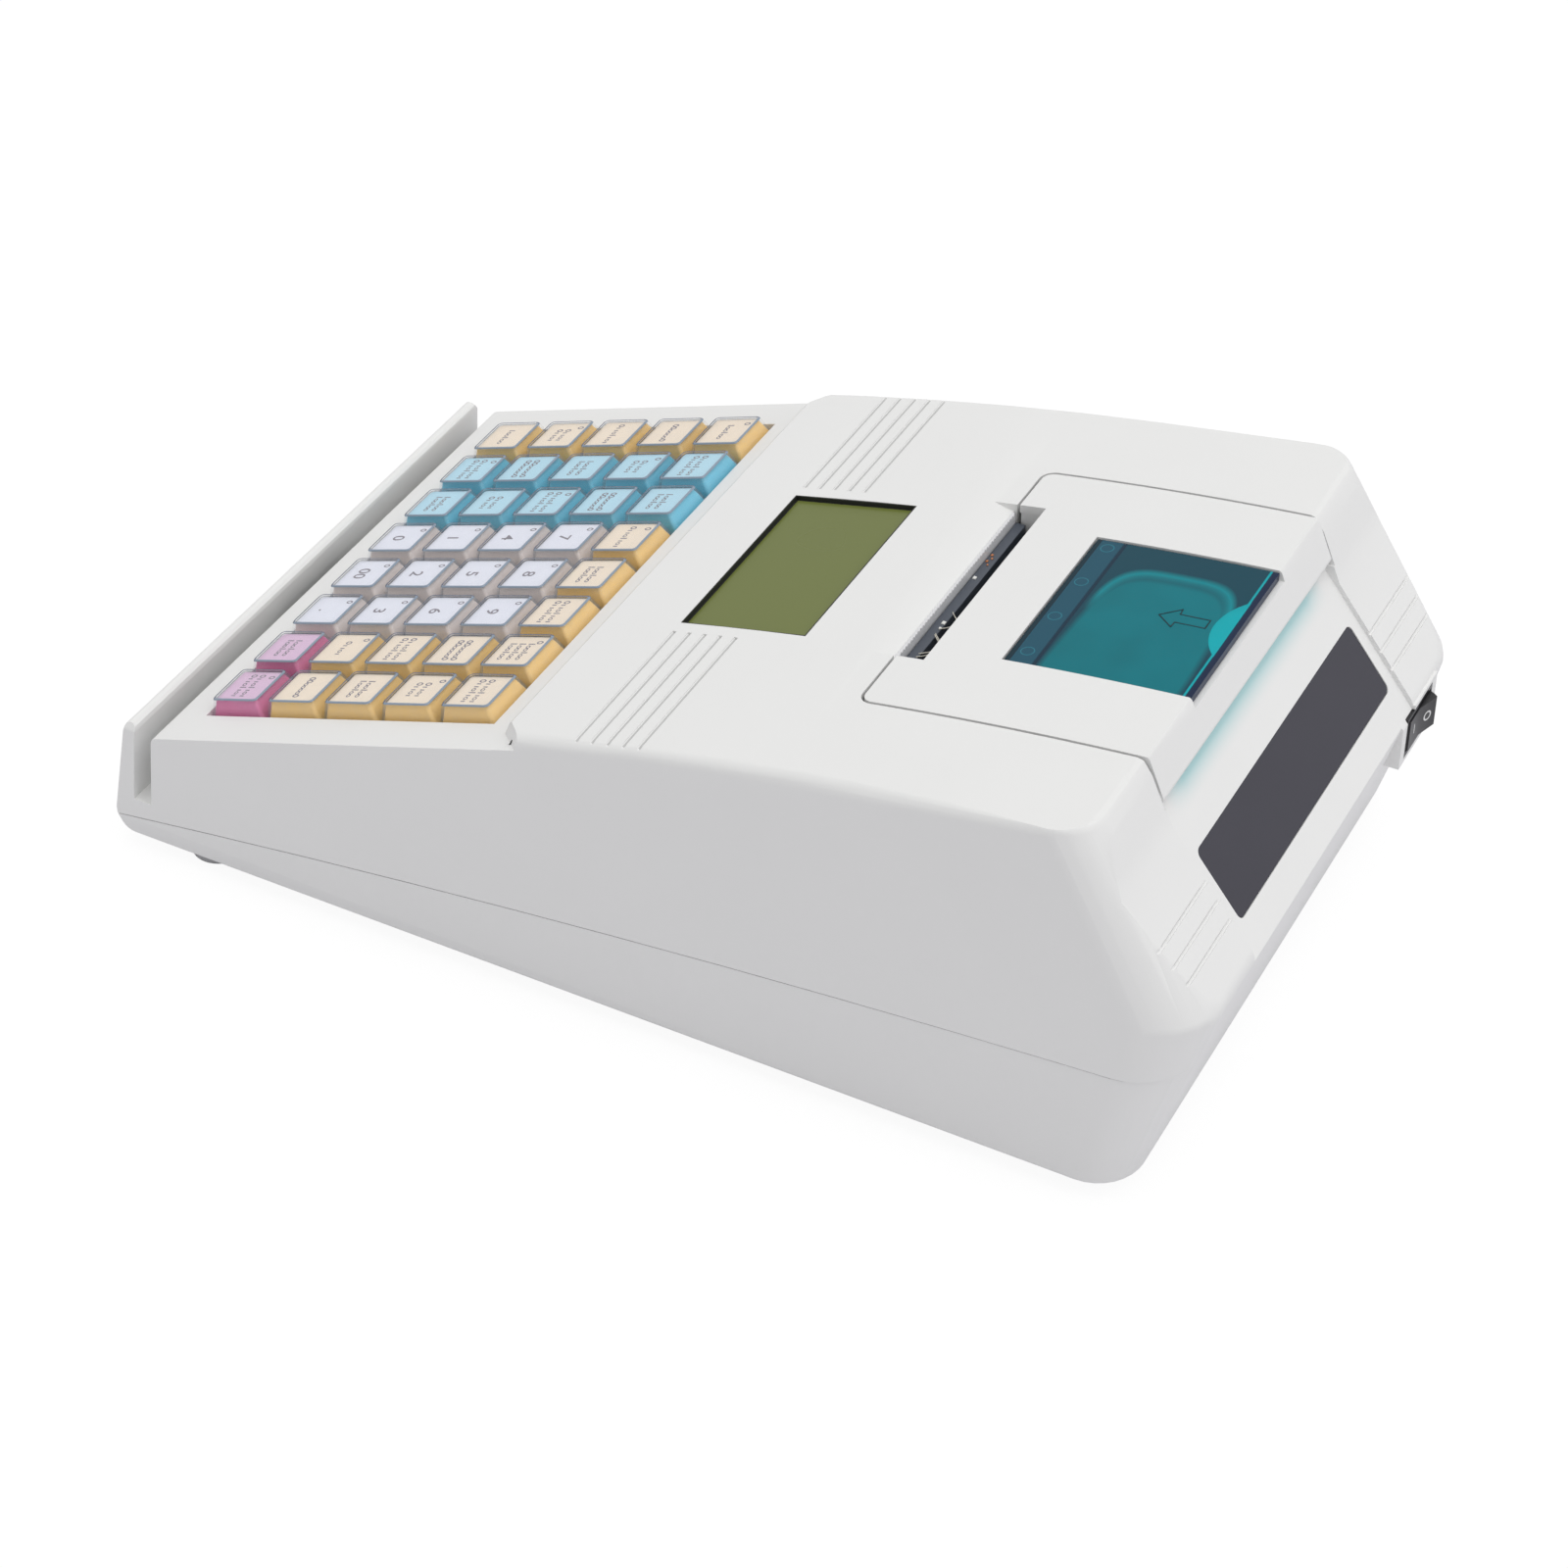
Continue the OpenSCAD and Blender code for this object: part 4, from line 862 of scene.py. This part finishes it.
class REGISTER_OT_switch(bpy.types.Operator):
    """Dress the power switch and put the marks on its rocker"""
    bl_idname = "register.switch"
    bl_label = "Power switch"

    def execute(self, context):
        black = moulded("switch_black", tint(24, 24, 27), rough=0.3, grain=0.3, depth=0.006,
                        spread=0.06, edge=0.0003)
        dress("switch_body", "switch_housing", "case", "dark_plastic", black)
        dress("power_rocker", "rocker", "power_rocker", "gloss_black", black)
        pivot = next(j for j in frame["joints"] if j["name"] == "rocker_pivot")
        white = card("mark_white", tint(225, 225, 225))
        tilt, reach, dip = math.radians(-9), 4.5, 1.1
        tip = math.sqrt(8.3 ** 2 - reach ** 2)
        marks = []
        for side, text in ((-1, "O"), (1, "I")):
            mark = figure(text, 3.0, 0, 0, 0.02)
            lean = math.atan2(dip, tip) * side
            # the mark's z turns to the face's normal, and its top to the far side
            upright = Matrix.Rotation(math.radians(-90), 4, "X") @ Matrix.Rotation(math.radians(180), 4, "Z")
            turn = Matrix.Rotation(lean, 4, "Z") @ upright
            mark.data.transform(Matrix.Rotation(tilt, 4, "Z") @ Matrix.Translation(
                (side * tip / 2, reach - dip / 2, 0)) @ turn)
            marks.append(paint(mark, white))
        marks = join("rocker_marks", marks)
        lay(marks, Matrix.Translation(pivot["pos_m"]))
        carry(marks, "power_rocker", "gloss_black")
        return {"FINISHED"}


# ---- Fittings ----

class REGISTER_OT_fittings(bpy.types.Operator):
    """Dress the feet, screws, boards and card reader"""
    bl_idname = "register.fittings"
    bl_label = "Feet and fittings"

    def execute(self, context):
        rubber = moulded("foot_rubber", tint(188, 188, 190), rough=0.8, grain=0.3, depth=0.03, spread=0.06)
        dress("rubber_feet", "feet", "case", "foot_rubber", rubber)
        steel = brushed("screw_steel", tint(190, 192, 196), 0.3)
        dress("case_screws", "screws", "case", "screw_steel", steel)
        green = moulded("main_green", tint(24, 84, 52), rough=0.4, spread=0.08)
        dress("main_board", "board", "case", "circuit_board", green)
        dark = moulded("inner_black", tint(40, 41, 45), rough=0.5, spread=0.06)
        dress("key_plate", "plate", "case", "dark_plastic", dark)
        dress("card_reader", "reader", "case", "dark_plastic", dark)
        return {"FINISHED"}


# ---- Studio ----

class REGISTER_OT_studio(bpy.types.Operator):
    """Set up the floor, the light and the camera"""
    bl_idname = "register.studio"
    bl_label = "Studio"

    def execute(self, context):
        studio = context.scene.register_studio
        deselect()
        bpy.ops.mesh.primitive_plane_add(size=8)
        floor = bpy.context.object
        floor.name = "floor"
        m = Finish("floor_white")
        plain = m.node("BsdfDiffuse", {}, {"Color": (0.77, 0.765, 0.8)})
        shown = m.node("BsdfDiffuse", {}, {"Color": (studio.shadow,) * 3})
        glow = m.node("Emission", {}, {"Color": (1, 1, 1), "Strength": 1.02 - studio.shadow})
        seen = m.node("LightPath", out="Is Camera Ray")
        both = m.node("AddShader", {}, {0: shown, 1: glow})
        mixed = m.node("MixShader", {}, {0: seen, 1: plain, 2: both})
        m.plug(m.tree.nodes["Material Output"].inputs["Surface"], mixed)
        paint(floor, m.material)

        world = bpy.data.worlds.new("studio")
        context.scene.world = world
        world.use_nodes = True
        nodes, links = world.node_tree.nodes, world.node_tree.links
        nodes.clear()
        path = nodes.new("ShaderNodeLightPath")
        first, second = nodes.new("ShaderNodeMath"), nodes.new("ShaderNodeMath")
        first.operation = second.operation = "MAXIMUM"
        links.new(path.outputs["Is Camera Ray"], first.inputs[0])
        links.new(path.outputs["Is Glossy Ray"], first.inputs[1])
        links.new(first.outputs[0], second.inputs[0])
        links.new(path.outputs["Is Transmission Ray"], second.inputs[1])
        light, shown = nodes.new("ShaderNodeBackground"), nodes.new("ShaderNodeBackground")
        light.inputs["Color"].default_value = shown.inputs["Color"].default_value = (1, 1, 1, 1)
        light.inputs["Strength"].default_value = studio.sky
        mix = nodes.new("ShaderNodeMixShader")
        links.new(second.outputs[0], mix.inputs[0])
        links.new(light.outputs[0], mix.inputs[1])
        links.new(shown.outputs[0], mix.inputs[2])
        links.new(mix.outputs[0], nodes.new("ShaderNodeOutputWorld").inputs["Surface"])

        deselect()
        bpy.ops.object.light_add(type="SUN", location=(0, 0, 2),
                                 rotation=(math.radians(-8), math.radians(-4), 0))
        lamp = bpy.context.object
        lamp.name = "overhead"
        lamp.data.energy, lamp.data.angle = studio.lamp, math.radians(50)
        bpy.ops.object.light_add(type="SUN", location=(0, 2, 1), rotation=(math.radians(-46), 0, 0))
        behind = bpy.context.object
        behind.name = "behind"
        behind.data.energy, behind.data.angle = studio.fill, math.radians(30)

        bpy.ops.object.camera_add(location=(0.694814, 0.361501, 0.650112),
                                  rotation=[math.radians(a) for a in (50.9344, 0.1322, 117.4333)])
        camera = bpy.context.object
        camera.data.lens, camera.data.sensor_width = 85.383, 36
        context.scene.camera = camera
        context.scene.view_settings.view_transform = "Standard"
        return {"FINISHED"}


class REGISTER_PT_panel(bpy.types.Panel):
    """Lists the register's settings and the steps that build it"""
    bl_idname = "REGISTER_PT_panel"
    bl_label = "Ticket register"
    bl_space_type = "VIEW_3D"
    bl_region_type = "UI"
    bl_category = "Register"

    def draw(self, context):
        scene = context.scene
        for title, group in (("Colours", scene.register_colours), ("Sizes", scene.register_sizes),
                             ("Studio", scene.register_studio)):
            box = self.layout.box()
            box.label(text=title)
            for name in group.bl_rna.properties.keys():
                if name not in ("rna_type", "name"):
                    box.prop(group, name)
        for operator in OPERATORS:
            self.layout.operator(operator.bl_idname)


OPERATORS = (REGISTER_OT_shells, REGISTER_OT_keys, REGISTER_OT_operator_display,
             REGISTER_OT_customer_display, REGISTER_OT_printer_lid, REGISTER_OT_printer,
             REGISTER_OT_switch, REGISTER_OT_fittings, REGISTER_OT_studio)
CLASSES = (RegisterColours, RegisterSizes, StudioSettings, *OPERATORS, REGISTER_PT_panel)


def register():
    for cls in CLASSES:
        bpy.utils.register_class(cls)
    bpy.types.Scene.register_colours = PointerProperty(type=RegisterColours)
    bpy.types.Scene.register_sizes = PointerProperty(type=RegisterSizes)
    bpy.types.Scene.register_studio = PointerProperty(type=StudioSettings)


def unregister():
    for name in ("register_colours", "register_sizes", "register_studio"):
        delattr(bpy.types.Scene, name)
    for cls in reversed(CLASSES):
        bpy.utils.unregister_class(cls)


def plain(bounds):
    return [[float(value) for value in corner] for corner in bounds]


def main():
    register()
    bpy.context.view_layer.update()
    for operator in OPERATORS:
        section, name = operator.bl_idname.split(".")
        getattr(getattr(bpy.ops, section), name)()


if __name__ == "__main__":
    main()
